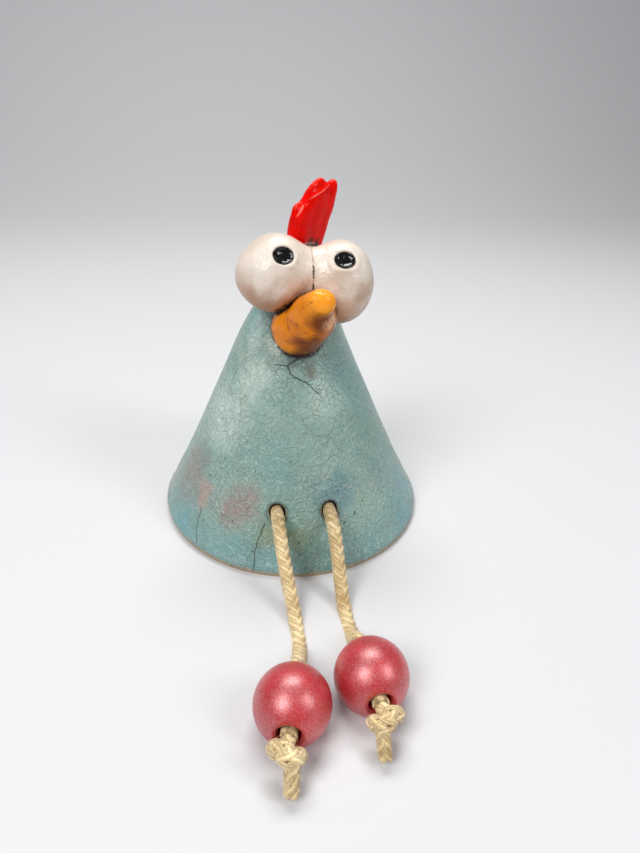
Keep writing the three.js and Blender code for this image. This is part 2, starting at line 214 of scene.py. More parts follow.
strands = put(braid, "GeometryNodeSetShadeSmooth", {"Geometry": strands}).outputs[0]
roots = put(braid, "GeometryNodeDistributePointsOnFaces", {"Mesh": strands, "Density": braid_in["Fibres"], "Seed": 4})
lean = put(braid, "FunctionNodeRandomValue", {0: (-1.35, -1.35, -pi), 1: (1.35, 1.35, pi), "Seed": 7},
           data_type="FLOAT_VECTOR").outputs[0]
turned = put(braid, "FunctionNodeRotateRotation", {
    "Rotation": roots.outputs["Rotation"],
    "Rotate By": put(braid, "FunctionNodeEulerToRotation", {0: lean}).outputs[0],
}, rotation_space="LOCAL").outputs[0]
fibre = put(braid, "GeometryNodeMeshCone", {
    "Vertices": 3, "Radius Top": 0.0, "Radius Bottom": 0.000016, "Depth": 0.0007,
}, fill_type="NONE").outputs["Mesh"]
fibres = put(braid, "GeometryNodeInstanceOnPoints", {
    "Points": roots.outputs["Points"], "Instance": fibre, "Rotation": turned,
    "Scale": put(braid, "FunctionNodeRandomValue", {2: 0.5, 3: 1.3, "Seed": 2}, data_type="FLOAT").outputs[1],
}).outputs[0]
cloth = put(braid, "GeometryNodeJoinGeometry")
for part in (fibres, strands):
    braid.links.new(part, cloth.inputs[0])
whole = put(braid, "GeometryNodeRealizeInstances", {0: cloth.outputs[0]}).outputs[0]
whole = put(braid, "GeometryNodeSetMaterial", {"Geometry": whole, "Material": braid_in["Material"]}).outputs[0]
braid.links.new(whole, braid_out.inputs[0])

cotton = bpy.data.materials.new("waxed cotton")
cotton.use_nodes = True
tree = cotton.node_tree
skin = tree.nodes["Principled BSDF"]
place = put(tree, "ShaderNodeTexCoord").outputs["Object"]
around = put(tree, "ShaderNodeAttribute", attribute_name="around").outputs["Fac"]
along = put(tree, "ShaderNodeAttribute", attribute_name="along").outputs["Fac"]
patches = put(tree, "ShaderNodeTexNoise", {"Vector": place, "Scale": 260.0, "Detail": 4.0}).outputs["Fac"]
threads = sums(tree, "SINE", sums(tree, "MULTIPLY", around, tau * 5))
wobble = put(tree, "ShaderNodeTexNoise", {"Vector": place, "Scale": 3400.0, "Detail": 3.0}).outputs["Fac"]
edge = sums(tree, "ABSOLUTE", sums(tree, "SINE", sums(tree, "MULTIPLY", around, tau)))
shade = put(tree, "ShaderNodeValToRGB", {"Fac": sums(tree, "MULTIPLY_ADD", wobble, 0.45, sums(tree, "MULTIPLY", patches, 0.55))})
shade.color_ramp.elements[0].position = 0.32
shade.color_ramp.elements[0].color = colour("b08c52")
shade.color_ramp.elements[1].position = 0.66
shade.color_ramp.elements[1].color = colour("ffe9b6")
# Painted shade: each strand darkens towards its edges, where it dips under its neighbours.
wear_and_edge_shade = put(tree, "ShaderNodeMix", {
    "Factor": sums(tree, "MULTIPLY", sums(tree, "POWER", edge, 6.0), 0.75),
    6: shade.outputs["Color"], 7: colour("86683a"),
}, data_type="RGBA").outputs[2]
tree.links.new(wear_and_edge_shade, skin.inputs["Base Color"])
skin.inputs["Roughness"].default_value = 0.62
skin.inputs["Sheen Weight"].default_value = 0.25
grain = sums(tree, "ADD", sums(tree, "MULTIPLY", threads, 0.35), wobble)
ridges = put(tree, "ShaderNodeBump", {"Height": grain, "Strength": 0.8, "Distance": 0.00008}).outputs[0]
tree.links.new(ridges, skin.inputs["Normal"])


def braided(name, points, fibres=700000.0, strand=1.0):
    """A braided cord along a line through the points, as a plain mesh."""
    path = smooth_path(points)
    piece = as_object(name, path, [(i, i + 1) for i in range(len(path) - 1)], [])
    weave = piece.modifiers.new("braid", "NODES")
    weave.node_group = braid
    sizes = {
        "Pitch": 0.0086, "Lay radius": 0.00109 * strand, "Weave depth": 0.00012 * strand,
        "Strand width": 0.00158 * strand, "Strand thickness": 0.00076 * strand, "Fibres": fibres,
        "Material": cotton,
    }
    for item in braid.interface.items_tree:
        if item.item_type == "SOCKET" and item.name in sizes:
            weave[item.identifier] = sizes[item.name]
    finished(piece)
    for vertex in piece.data.vertices:
        vertex.co.z = max(vertex.co.z, 0)
    piece.data.materials.clear()
    piece.data.materials.append(cotton)
    piece.data.polygons.foreach_set("material_index", [0] * len(piece.data.polygons))
    return piece


# The bend of each leg outside its hole, which it turns about.
hole_tilt = radians(8)
bend = {"left": Vector((-0.0062, -0.0319895, 0.0158644)), "right": Vector((0.0062, -0.0319895, 0.0158644))}
bore_out = Vector((0, -cos(hole_tilt), sin(hole_tilt)))
# Across from the hole, forward of the bend, and height. The cord rests on the lower edge of its
# hole, which is wider than the cord.
slack = 0.0004
leg_routes = {
    "left": [
        (0, 0, 0.0158644 - slack), (0, 0.001, 0.01593 - slack), (0, 0.0027, 0.01545), (0.0001, 0.0043, 0.015),
        (0.0002, 0.0057, 0.0141), (0.0007, 0.0095, 0.0107), (0.0014, 0.0133, 0.00725),
        (0.0021, 0.0171, 0.00385), (0.00235, 0.019, 0.00257), (0.0025, 0.021, 0.00178),
        (0.0026, 0.0231, 0.00154), (0.0026, 0.025, 0.00154), (0.0025, 0.0268, 0.0018),
        (0.0023, 0.0285, 0.00255), (0.0019, 0.0309, 0.0041), (0.00145, 0.0333, 0.00562),
        (0.00115, 0.0348, 0.00635), (0.0008, 0.0365, 0.00666),
    ],
    "right": [
        (0, 0, 0.0158644 - slack), (0, 0.001, 0.01593 - slack), (0, 0.0029, 0.0154), (0.0001, 0.0048, 0.0147),
        (0.0002, 0.00635, 0.0134), (0.0005, 0.01, 0.00905), (0.0008, 0.0137, 0.0047),
        (0.00095, 0.01565, 0.00295), (0.0011, 0.0181, 0.00185), (0.0012, 0.02, 0.00154),
        (0.0013, 0.0214, 0.00154), (0.0014, 0.0236, 0.0019), (0.0015, 0.0256, 0.003),
        (0.00165, 0.0281, 0.00515), (0.00175, 0.03, 0.00624), (0.00185, 0.032, 0.00666),
    ],
}
bead_yaw = {"left": radians(-11), "right": radians(3)}
bead_tilt = radians(3)
bead_radius = 0.007
bead_length = 0.0129
bore, bead_centre, legs, leg_paths = {}, {}, {}, {}
for name in ("left", "right"):
    bore[name] = Vector((
        sin(bead_yaw[name]) * cos(bead_tilt), -cos(bead_yaw[name]) * cos(bead_tilt), sin(bead_tilt),
    ))
    route = [Vector((bend[name].x + a, bend[name].y - f, h)) for a, f, h in leg_routes[name]]
    bead_centre[name] = route[-1] + bore[name] * bead_length / 2
    bead_centre[name].z = bead_radius
    route += [bead_centre[name], bead_centre[name] + bore[name] * bead_length / 2]
    legs[name] = braided("leg_cord_" + name, route)
    # The round end that the leg turns on at its hole.
    ball = bmesh.new()
    ball.from_mesh(legs[name].data)
    added = bmesh.ops.create_uvsphere(ball, u_segments=20, v_segments=12, radius=0.00146)
    for vertex in added["verts"]:
        vertex.co += bend[name] - Vector((0, 0, slack))
        for face in vertex.link_faces:
            face.smooth = True
    ball.to_mesh(legs[name].data)
    ball.free()
    leg_paths[name] = smooth_path(route, 0.001)

# The cord behind the wall
# One cord runs in at one hole, turns in a loop behind the wall and comes out at the other.
hole_spacing = 0.0124
inside_from = {name: bend[name] - Vector((0, 0, slack)) for name in bend}
inside_ends = {name: [inside_from[name] - bore_out * d for d in (0, 0.0018, 0.0054, 0.009, 0.0108)] for name in bend}
loop_middle = (inside_ends["left"][-1] + inside_ends["right"][-1]) / 2
loop = [
    loop_middle + Vector((-hole_spacing / 2 * cos(radians(d)), 0, 0)) - bore_out * hole_spacing / 2 * sin(radians(d))
    for d in (30, 60, 90, 120, 150)
]
inside = braided(
    "cord_behind_wall",
    [*inside_ends["left"], *loop, *inside_ends["right"][::-1]],
    fibres=200000.0,
)
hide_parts("cord_inside")
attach(inside, "hen")


# Body
# A hand-built hollow cone of clay, slightly oval and 5 mm thick, that flares out to a rolled foot.
# It is raku glazed: cloudy turquoise over a fine net of crackle, smoked black where it is bare.
head_top = 0.0715
head_rounding = 0.006
shoulder = head_top - head_rounding
foot_rounding = 0.004
wall_across = 0.005 * sqrt(1 + 0.466 ** 2)


def cone_radius(height):
    """The outer radius of the straight and flared side, before the oval squeeze."""
    z = max(height, foot_rounding)
    side = 0.466 * (head_top + 0.007 - z) + 0.0026 * exp(-z / 0.0079)
    below = min(1, (foot_rounding - height) / foot_rounding)
    return side if below <= 0 else side - 0.0032 * (1 - sqrt(1 - below ** 2))


def smoothstep(value, start, end):
    """Rises smoothly from 0 at start to 1 at end."""
    t = min(1, max(0, (value - start) / (end - start)))
    return t * t * (3 - 2 * t)


def body_point(angle, radius, height):
    """A point of the body, with its oval squeeze and the sideways push of its head."""
    push = 0.0022 * smoothstep(height, head_top - 0.0235, head_top - 0.0015)
    push -= 0.00035 * exp(-((height - 0.038) / 0.022) ** 2)
    return Vector((radius * sin(angle) * 0.962 + push, -radius * cos(angle) / 0.962, height))


def lumps(point, size, seed=0.0):
    """Soft irregularity of hand-shaped clay, from -1 to 1."""
    return noise.noise(point / size + Vector((seed, seed * 0.7, -seed)))


body_rings = [(0, head_top - 0.0115)]
for i in range(28):
    z = (head_top - 0.0135) * (1 - i / 27)
    body_rings.append((cone_radius(max(z, foot_rounding)) - wall_across, z))
foot_steps = [foot_rounding * (1 - cos(radians(a))) for a in range(0, 91, 10)]
side_steps = [foot_rounding + (shoulder - foot_rounding) * i / 92 for i in range(1, 93)]
body_rings += [(cone_radius(z), z) for z in foot_steps + side_steps]
outer_from = len(body_rings) - len(foot_steps) - len(side_steps)
for degrees in range(10, 90, 10):
    body_rings.append((
        cone_radius(shoulder) * cos(radians(degrees)), shoulder + head_rounding * sin(radians(degrees)),
    ))
body_rings.append((0, head_top))
around_count = 240


def turned_mesh(name, rings, count, place):
    """A closed shape of rings round an axis; a ring of no radius is a pole."""
    vertices, faces, starts = [], [], []
    for radius, height in rings:
        starts.append(len(vertices))
        steps = 1 if radius == 0 else count
        vertices += [place(tau * i / count, radius, height) for i in range(steps)]
    for (a, b), (lower, upper) in zip(zip(starts, starts[1:]), zip(rings, rings[1:])):
        for i in range(count):
            j = (i + 1) % count
            if lower[0] == 0:
                faces.append((a, b + j, b + i))
            elif upper[0] == 0:
                faces.append((a + i, a + j, b))
            else:
                faces.append((a + i, a + j, b + j, b + i))
    return as_object(name, vertices, [], faces)


body = turned_mesh("body_glazed", body_rings, around_count, body_point)
shape = bmesh.new()
shape.from_mesh(body.data)


def from_bore(point, name):
    """How far a point lies from the middle line of a leg's hole."""
    away = point - bend[name]
    return (away - bore_out * away.dot(bore_out)).length


near = [
    e for e in shape.edges
    if all(v.co.y < -0.02 and min(from_bore(v.co, n) for n in bend) < 0.0042 for v in e.verts)
]
bmesh.ops.subdivide_edges(shape, edges=near, cuts=3, use_grid_fill=True)
shape.normal_update()
for vertex in shape.verts:
    p = vertex.co.copy()
    outwards = Vector((p.x, p.y, 0)).normalized() if p.xy.length > 1e-5 else Vector((0, 0, 1))
    outside = vertex.normal.dot(outwards) > 0.1 or vertex.normal.z > 0.5
    uneven = 0.00022 * lumps(p, 0.024) + 0.00008 * lumps(p, 0.009, 3.1)
    full = smoothstep(p.z, 0.0045, 0.010)
    if outside:
        vertex.co += outwards * ((uneven + 0.00024) * full + (0.3 * uneven - 0.0001) * (1 - full))
    else:
        vertex.co += outwards * (uneven + 0.0003) * smoothstep(p.z, 0.0, 0.004)
    if outside and p.y < 0:
        for name in bend:
            gap = from_bore(p, name) - 0.00195
            if gap < 0.002:
                vertex.co += -bore_out * 0.0005 * exp(-(max(gap, 0) / 0.0004) ** 2)
shape.to_mesh(body.data)
shape.free()
for name in bend:
    poke = bpy.data.meshes.new("poke")
    drill = bmesh.new()
    bmesh.ops.create_cone(drill, cap_ends=True, segments=48, radius1=0.00195, radius2=0.00195, depth=0.016)
    drill.to_mesh(poke)
    drill.free()
    poke.transform(bore_out.to_track_quat("Z", "Y").to_matrix().to_4x4())
    poke.transform(Matrix.Translation(bend[name] - bore_out * 0.004))
    tool = bpy.data.objects.new("poke", poke)
    scene.collection.objects.link(tool)
    cut = body.modifiers.new("hole", "BOOLEAN")
    cut.object = tool
    cut.operation = "DIFFERENCE"
    cut.solver = "EXACT"
    finished(body)
    bpy.data.objects.remove(tool)
body.data.polygons.foreach_set("use_smooth", [True] * len(body.data.polygons))

crackle, crackle_in, crackle_out = new_group(
    "crackle net", "ShaderNodeTree",
    {"Cells per metre": "Float", "Line width": "Float", "Waver": "Float"},
    {"Lines": "Float", "Cell": "Float"},
)
spot = put(crackle, "ShaderNodeTexCoord").outputs["Object"]
drift = put(crackle, "ShaderNodeTexNoise", {"Vector": spot, "Scale": 420.0, "Detail": 3.0}).outputs["Color"]
drift = vectors(crackle, "SUBTRACT", drift, (0.5, 0.5, 0.5))
drift = put(crackle, "ShaderNodeVectorMath", {0: drift, "Scale": crackle_in["Waver"]}, operation="SCALE").outputs[0]
spot = vectors(crackle, "ADD", spot, drift)
net = put(crackle, "ShaderNodeTexVoronoi", {"Vector": spot, "Scale": crackle_in["Cells per metre"]},
          feature="DISTANCE_TO_EDGE").outputs["Distance"]
cells = put(crackle, "ShaderNodeTexVoronoi", {"Vector": spot, "Scale": crackle_in["Cells per metre"]}).outputs["Color"]
lines = put(crackle, "ShaderNodeMapRange", {
    "Value": net, "From Min": 0.0, "From Max": crackle_in["Line width"], "To Min": 1.0, "To Max": 0.0,
}, interpolation_type="SMOOTHSTEP").outputs[0]
crackle.links.new(lines, crackle_out.inputs["Lines"])
crackle.links.new(put(crackle, "ShaderNodeSeparateColor", {0: cells}).outputs[0], crackle_out.inputs["Cell"])

pits, pits_in, pits_out = new_group(
    "pits and specks", "ShaderNodeTree",
    {"Per metre": "Float", "Share": "Float", "Size": "Float"}, {"Mask": "Float"},
)
spot = put(pits, "ShaderNodeTexCoord").outputs["Object"]
drift = put(pits, "ShaderNodeTexNoise", {"Vector": spot, "Scale": 1500.0, "Detail": 2.0}).outputs["Color"]
drift = vectors(pits, "SUBTRACT", drift, (0.5, 0.5, 0.5))
drift = put(pits, "ShaderNodeVectorMath", {0: drift, "Scale": 0.0009}, operation="SCALE").outputs[0]
dots = put(pits, "ShaderNodeTexVoronoi", {
    "Vector": vectors(pits, "ADD", spot, drift), "Scale": pits_in["Per metre"],
})
chosen = sums(pits, "LESS_THAN", put(pits, "ShaderNodeSeparateColor", {0: dots.outputs["Color"]}).outputs[1],
              pits_in["Share"])
round_dot = put(pits, "ShaderNodeMapRange", {
    "Value": dots.outputs["Distance"], "From Min": 0.0, "From Max": pits_in["Size"], "To Min": 1.0, "To Max": 0.0,
}, interpolation_type="SMOOTHSTEP").outputs[0]
pits.links.new(sums(pits, "MULTIPLY", chosen, round_dot), pits_out.inputs[0])

cloud, cloud_in, cloud_out = new_group(
    "cloud of colour", "ShaderNodeTree",
    {"Middle": "Vector", "Reach": "Float", "Raggedness": "Float"}, {"Mask": "Float"},
)
spot = put(cloud, "ShaderNodeTexCoord").outputs["Object"]
drift = put(cloud, "ShaderNodeTexNoise", {"Vector": spot, "Scale": 190.0, "Detail": 4.0, "Roughness": 0.6}).outputs["Color"]
drift = vectors(cloud, "SUBTRACT", drift, (0.5, 0.5, 0.5))
drift = put(cloud, "ShaderNodeVectorMath", {0: drift, "Scale": cloud_in["Raggedness"]}, operation="SCALE").outputs[0]
away = put(cloud, "ShaderNodeVectorMath", {0: vectors(cloud, "ADD", spot, drift), 1: cloud_in["Middle"]},
           operation="DISTANCE").outputs["Value"]
cloud.links.new(put(cloud, "ShaderNodeMapRange", {
    "Value": away, "From Min": sums(cloud, "MULTIPLY", cloud_in["Reach"], 0.25), "From Max": cloud_in["Reach"],
    "To Min": 1.0, "To Max": 0.0,
}, interpolation_type="SMOOTHSTEP").outputs[0], cloud_out.inputs[0])

stroke, stroke_in, stroke_out = new_group(
    "fired crack", "ShaderNodeTree",
    {"From": "Vector", "To": "Vector", "Half width": "Float"}, {"Mask": "Float"},
)
spot = put(stroke, "ShaderNodeTexCoord").outputs["Object"]
front = sums(stroke, "LESS_THAN", put(stroke, "ShaderNodeSeparateXYZ", {0: spot}).outputs["Y"], 0.0)
drift = put(stroke, "ShaderNodeTexNoise", {"Vector": spot, "Scale": 700.0, "Detail": 3.0}).outputs["Color"]
drift = vectors(stroke, "SUBTRACT", drift, (0.5, 0.5, 0.5))
drift = put(stroke, "ShaderNodeVectorMath", {0: drift, "Scale": 0.0008}, operation="SCALE").outputs[0]
spot = vectors(stroke, "MULTIPLY", vectors(stroke, "ADD", spot, drift), (1, 0, 1))
begin = vectors(stroke, "MULTIPLY", stroke_in["From"], (1, 0, 1))
span = vectors(stroke, "MULTIPLY", vectors(stroke, "SUBTRACT", stroke_in["To"], stroke_in["From"]), (1, 0, 1))
gone = vectors(stroke, "SUBTRACT", spot, begin)
share = put(stroke, "ShaderNodeMath", {
    0: put(stroke, "ShaderNodeVectorMath", {0: gone, 1: span}, operation="DOT_PRODUCT").outputs["Value"],
    1: put(stroke, "ShaderNodeVectorMath", {0: span, 1: span}, operation="DOT_PRODUCT").outputs["Value"],
}, operation="DIVIDE", use_clamp=True).outputs[0]
nearest = put(stroke, "ShaderNodeVectorMath", {0: span, "Scale": share}, operation="SCALE").outputs[0]
off = put(stroke, "ShaderNodeVectorMath", {0: gone, 1: nearest}, operation="DISTANCE").outputs["Value"]
mark = put(stroke, "ShaderNodeMapRange", {
    "Value": off, "From Min": sums(stroke, "MULTIPLY", stroke_in["Half width"], 0.3),
    "From Max": stroke_in["Half width"], "To Min": 1.0, "To Max": 0.0,
}, interpolation_type="SMOOTHSTEP").outputs[0]
stroke.links.new(sums(stroke, "MULTIPLY", mark, front), stroke_out.inputs[0])


def grouped(tree, group, **values):
    """A node group in a material, with its own values; underscores stand for spaces."""
    made = put(tree, "ShaderNodeGroup", node_tree=group)
    for key, value in values.items():
        made.inputs[key.replace("_", " ")].default_value = value
    return made


def blend_in(tree, mask, under, over, strength=1.0):
    """One colour laid over another where the mask says; each is a socket or a colour code."""
    ends = [colour(c) if isinstance(c, str) else c for c in (under, over)]
    factor = mask if strength == 1 else sums(tree, "MULTIPLY", mask, strength)
    return put(tree, "ShaderNodeMix", {"Factor": factor, 6: ends[0], 7: ends[1]}, data_type="RGBA").outputs[2]


def faded(tree, value, start, end):
    """1 where the value is at or past end, 0 at start, smooth between."""
    return put(tree, "ShaderNodeMapRange", {
        "Value": value, "From Min": start, "From Max": end, "To Min": 0.0, "To Max": 1.0,
    }, interpolation_type="SMOOTHSTEP").outputs[0]


glazed = bpy.data.materials.new("turquoise raku glaze")
glazed.use_nodes = True
tree = glazed.node_tree
skin = tree.nodes["Principled BSDF"]
place = put(tree, "ShaderNodeTexCoord").outputs["Object"]
height = put(tree, "ShaderNodeSeparateXYZ", {0: place}).outputs["Z"]
wide = put(tree, "ShaderNodeTexNoise", {"Vector": place, "Scale": 46.0, "Detail": 4.0, "Roughness": 0.55}).outputs["Fac"]
small = put(tree, "ShaderNodeTexNoise", {"Vector": place, "Scale": 190.0, "Detail": 5.0, "Roughness": 0.6}).outputs["Fac"]
tone = blend_in(tree, faded(tree, wide, 0.36, 0.64), "72958f", "93aba0")
tone = blend_in(tree, faded(tree, small, 0.45, 0.72), tone, "7f9581", 0.6)
tint = put(tree, "ShaderNodeTexNoise", {"Vector": place, "Scale": 95.0, "Detail": 3.0}).outputs["Fac"]
tone = blend_in(tree, faded(tree, tint, 0.52, 0.7), tone, "648f95", 0.4)
low = faded(tree, sums(tree, "MULTIPLY_ADD", small, 0.018, height), 0.026, 0.012)
tone = blend_in(tree, low, tone, "749da0", 0.6)
for middle, reach, ragged, code, strength in (
    ((-0.0150, -0.0263, 0.0151), 0.0078, 0.011, "98706a", 0.74),
    ((-0.0235, -0.0187, 0.0140), 0.0055, 0.009, "b8857a", 0.66),
    ((-0.0275, -0.0105, 0.0165), 0.0105, 0.012, "8a7772", 0.75),
    ((-0.0017, -0.0330, 0.0105), 0.0060, 0.007, "73855f", 0.80),
    ((-0.0085, -0.0320, 0.0110), 0.0050, 0.007, "7c8a62", 0.70),
    # The next two clouds are painted shade, darker low on the front by the foot.
    ((0.0035, -0.0360, 0.0045), 0.0080, 0.009, "5d7d72", 0.75),
    ((0.0125, -0.0335, 0.0030), 0.0045, 0.008, "6b857d", 0.55),
    ((0.0078, -0.0290, 0.0185), 0.0082, 0.010, "4c7a8a", 0.72),
    ((0.0275, -0.0205, 0.0070), 0.0075, 0.010, "5f95a2", 0.55),
    ((0.0310, -0.0130, 0.0125), 0.0085, 0.010, "4f8fa6", 0.60),
    ((-0.0290, -0.0180, 0.0060), 0.0075, 0.009, "5c97a2", 0.50),
    # The next three pale clouds are painted highlights, where the lamps reflect on the glaze.
    ((-0.0180, -0.0125, 0.0330), 0.0125, 0.010, "c4d5cc", 0.70),
    ((-0.0100, -0.0130, 0.0430), 0.0070, 0.007, "cad8cf", 0.62),
    ((0.0065, -0.0181, 0.0395), 0.0090, 0.008, "b4c8bd", 0.62),
    ((-0.0055, -0.0125, 0.0505), 0.0040, 0.006, "b4b8a8", 0.60),
    # These two pale clouds below the left eye are painted highlights too.
    ((-0.0080, -0.0075, 0.0545), 0.0046, 0.009, "c6d2ca", 0.65),
    ((-0.0098, -0.0085, 0.0500), 0.0042, 0.009, "cdd9d0", 0.60),
    ((-0.0105, -0.0085, 0.0560), 0.0085, 0.008, "6c99a0", 0.45),
    ((0.0140, -0.0105, 0.0430), 0.0130, 0.010, "6f9ba3", 0.45),
    ((0.0260, -0.0190, 0.0150), 0.0120, 0.010, "6c9aa3", 0.35),
    # Darker just under the beak: smoke marks, deepened with a painted shadow of the beak.
    ((-0.0010, -0.0150, 0.0480), 0.0048, 0.006, "3a4242", 0.72),
    ((0.0030, -0.0165, 0.0455), 0.0030, 0.005, "57402f", 0.70),
    ((-0.0060, -0.0125, 0.0475), 0.0024, 0.004, "343d3d", 0.70),
    ((0.0310, 0.0040, 0.0100), 0.0120, 0.012, "aaa391", 0.75),
    ((-0.0330, 0.0040, 0.0080), 0.0110, 0.012, "a29a8c", 0.75),
    ((0.0050, 0.0330, 0.0150), 0.0200, 0.016, "9a8a7a", 0.60),
):
    mask = grouped(tree, cloud, Middle=middle, Reach=reach, Raggedness=ragged).outputs[0]
    tone = blend_in(tree, mask, tone, code, strength)
fine = grouped(tree, crackle, Cells_per_metre=640.0, Line_width=0.13, Waver=0.0013)
coarse = grouped(tree, crackle, Cells_per_metre=150.0, Line_width=0.024, Waver=0.0042)
patchy = put(tree, "ShaderNodeTexNoise", {"Vector": place, "Scale": 82.0, "Detail": 3.0}).outputs["Fac"]
broken = put(tree, "ShaderNodeTexNoise", {"Vector": place, "Scale": 640.0, "Detail": 2.0}).outputs["Fac"]
fine_lines = sums(tree, "MULTIPLY", fine.outputs["Lines"], faded(tree, broken, 0.22, 0.44))
fine_lines = sums(tree, "MULTIPLY", fine_lines, sums(tree, "MULTIPLY_ADD", faded(tree, patchy, 0.34, 0.6), 0.55, 0.45))
long_lines = sums(tree, "MULTIPLY", coarse.outputs["Lines"], faded(tree, tint, 0.34, 0.48))
tone = blend_in(tree, faded(tree, fine.outputs["Cell"], 0.2, 1.0), tone, "6a8c86", 0.22)
tone = blend_in(tree, fine_lines, tone, "a9bdb2", 0.34)
tone = blend_in(tree, long_lines, tone, "b8c8bc", 0.5)
sand = put(tree, "ShaderNodeTexNoise", {"Vector": place, "Scale": 2300.0, "Detail": 2.0}).outputs["Fac"]
tone = blend_in(tree, faded(tree, sand, 0.52, 0.74), tone, "c9d3c8", 0.30)
tone = blend_in(tree, faded(tree, sand, 0.48, 0.26), tone, "4c6c6e", 0.30)
specks = grouped(tree, pits, Per_metre=900.0, Share=0.10, Size=0.34).outputs[0]
smoke = faded(tree, small, 0.46, 0.58)
tone = blend_in(tree, sums(tree, "MULTIPLY", specks, smoke), tone, "26302f", 0.85)
rim_stain = None
for name in bend:
    hole_edge = grouped(tree, cloud, Middle=tuple(bend[name] - bore_out * 0.002), Reach=0.0034, Raggedness=0.0022).outputs[0]
    rim_stain = hole_edge if rim_stain is None else sums(tree, "MAXIMUM", rim_stain, hole_edge)
tone = blend_in(tree, faded(tree, rim_stain, 0.0, 0.35), tone, "3f4a44", 0.45)
tone = blend_in(tree, faded(tree, rim_stain, 0.28, 0.5), tone, "93876a", 0.6)
cracks = None
for (ax, az), (bx, bz), half in (
    ((0.0010, 0.0510), (0.0000, 0.0484), 0.00046),
    ((0.0000, 0.0484), (-0.0027, 0.0466), 0.00028),
    ((-0.0027, 0.0466), (-0.0056, 0.0467), 0.00016),
    ((-0.0027, 0.0466), (-0.0022, 0.0451), 0.00024),
    ((-0.0022, 0.0451), (-0.0005, 0.0440), 0.00017),
    ((-0.0005, 0.0440), (0.0018, 0.0428), 0.00022),
    ((0.0018, 0.0428), (0.0047, 0.0404), 0.00014),
    ((-0.0244, 0.0115), (-0.0255, 0.0085), 0.00012),
    ((-0.0255, 0.0085), (-0.0258, 0.0045), 0.00013),
    ((-0.0091, 0.0131), (-0.0107, 0.0101), 0.00014),
    ((-0.0107, 0.0101), (-0.0117, 0.0075), 0.00012),
    ((-0.0117, 0.0075), (-0.0121, 0.0034), 0.00013),
    ((0.0075, 0.0162), (0.0077, 0.0158), 0.00026),
    ((0.0126, 0.0140), (0.0123, 0.0132), 0.00022),
    ((0.0099, 0.0126), (0.0095, 0.0122), 0.00026),
):
    mask = grouped(tree, stroke, From=(ax, 0, az), To=(bx, 0, bz), Half_width=half).outputs[0]
    cracks = mask if cracks is None else sums(tree, "MAXIMUM", cracks, mask)
tone = blend_in(tree, cracks, tone, "2c3234", 0.8)
seam = put(tree, "ShaderNodeAttribute", attribute_name="seam").outputs["Fac"]
# Painted shade where the body meets the eyes, the beak and the comb.
seam_shade = sums(tree, "MULTIPLY", seam, sums(tree, "MULTIPLY_ADD", small, 1.6, 0.1))
forward = put(tree, "ShaderNodeSeparateXYZ", {0: place}).outputs["Y"]
crown = sums(tree, "MULTIPLY_ADD", forward, -0.5, height)
crown = sums(tree, "MULTIPLY", faded(tree, crown, head_top - 0.0014, head_top + 0.0004), faded(tree, small, 0.3, 0.5))
tone = blend_in(tree, faded(tree, seam_shade, 0.10, 0.42), tone, "30261f", 0.92)
tone = blend_in(tree, sums(tree, "MULTIPLY", crown, faded(tree, broken, 0.56, 0.44)), tone, "cfc5b8", 0.9)
foot_line = faded(tree, sums(tree, "MULTIPLY_ADD", small, 0.0020, height), 0.0048, 0.0038)
tone = blend_in(tree, foot_line, tone, "b49a7a", 0.9)
tree.links.new(tone, skin.inputs["Base Color"])
sheen = sums(tree, "MULTIPLY_ADD", small, 0.24, sums(tree, "MULTIPLY_ADD", foot_line, 0.35, 0.22))
tree.links.new(sheen, skin.inputs["Roughness"])
skin.inputs["Specular IOR Level"].default_value = 0.45
relief = sums(tree, "ADD", long_lines, sums(tree, "MULTIPLY", fine_lines, 1.2))
relief = sums(tree, "SUBTRACT", relief, sums(tree, "MULTIPLY", sums(tree, "MAXIMUM", specks, cracks), 1.2))
relief = sums(tree, "ADD", relief, sums(tree, "MULTIPLY", small, 1.2))
tree.links.new(put(tree, "ShaderNodeBump", {"Height": relief, "Strength": 1.0, "Distance": 0.00016}).outputs[0],
               skin.inputs["Normal"])

bare = bpy.data.materials.new("smoked bare clay")
bare.use_nodes = True
tree = bare.node_tree
skin = tree.nodes["Principled BSDF"]
place = put(tree, "ShaderNodeTexCoord").outputs["Object"]
grit = put(tree, "ShaderNodeTexNoise", {"Vector": place, "Scale": 1400.0, "Detail": 5.0}).outputs["Fac"]
smoke = put(tree, "ShaderNodeTexNoise", {"Vector": place, "Scale": 60.0, "Detail": 3.0}).outputs["Fac"]
tone = blend_in(tree, faded(tree, smoke, 0.35, 0.65), "2b2926", "55504a")
tone = blend_in(tree, faded(tree, grit, 0.5, 0.75), tone, "766c60", 0.5)
tree.links.new(tone, skin.inputs["Base Color"])
skin.inputs["Roughness"].default_value = 0.9
tree.links.new(put(tree, "ShaderNodeBump", {"Height": grit, "Strength": 0.7, "Distance": 0.00015}).outputs[0],
               skin.inputs["Normal"])
body.data.materials.clear()
body.data.materials.append(glazed)
body.data.materials.append(bare)
for face in body.data.polygons:
    c = face.center
    level = min(max(c.z, 0), head_top)
    wall = Vector((c.x / 0.962, c.y * 0.962)).length
    inner = c.z < head_top - 0.0112 and wall < cone_radius(level) - 0.0016 - 0.0032 * (level < 0.0005)
    face.material_index = 1 if inner else 0
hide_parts("body")
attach(body, "hen")


# Eyes
# Two balls of clay, pressed flat against each other and onto the head, glazed glossy off-white.
# The glaze is stained pink and brown towards the beak, painted shade darkens it underneath, and
# a dimple in each holds the black.
eyes = {
    "left": {"half": (0.0088, 0.0086, 0.0087), "centre": (-0.0054, -0.0105, head_top - 0.0046), "azimuth": 14.5, "rise": 38},
    "right": {"half": (0.0077, 0.0085, 0.0094), "centre": (0.0096, -0.0105, head_top - 0.0067), "azimuth": -1, "rise": 46.5},
}
eye_seam = 0.0028
eye_fillet = 0.0056
for eye in eyes.values():
    eye["half"], eye["centre"] = Vector(eye["half"]), Vector(eye["centre"])


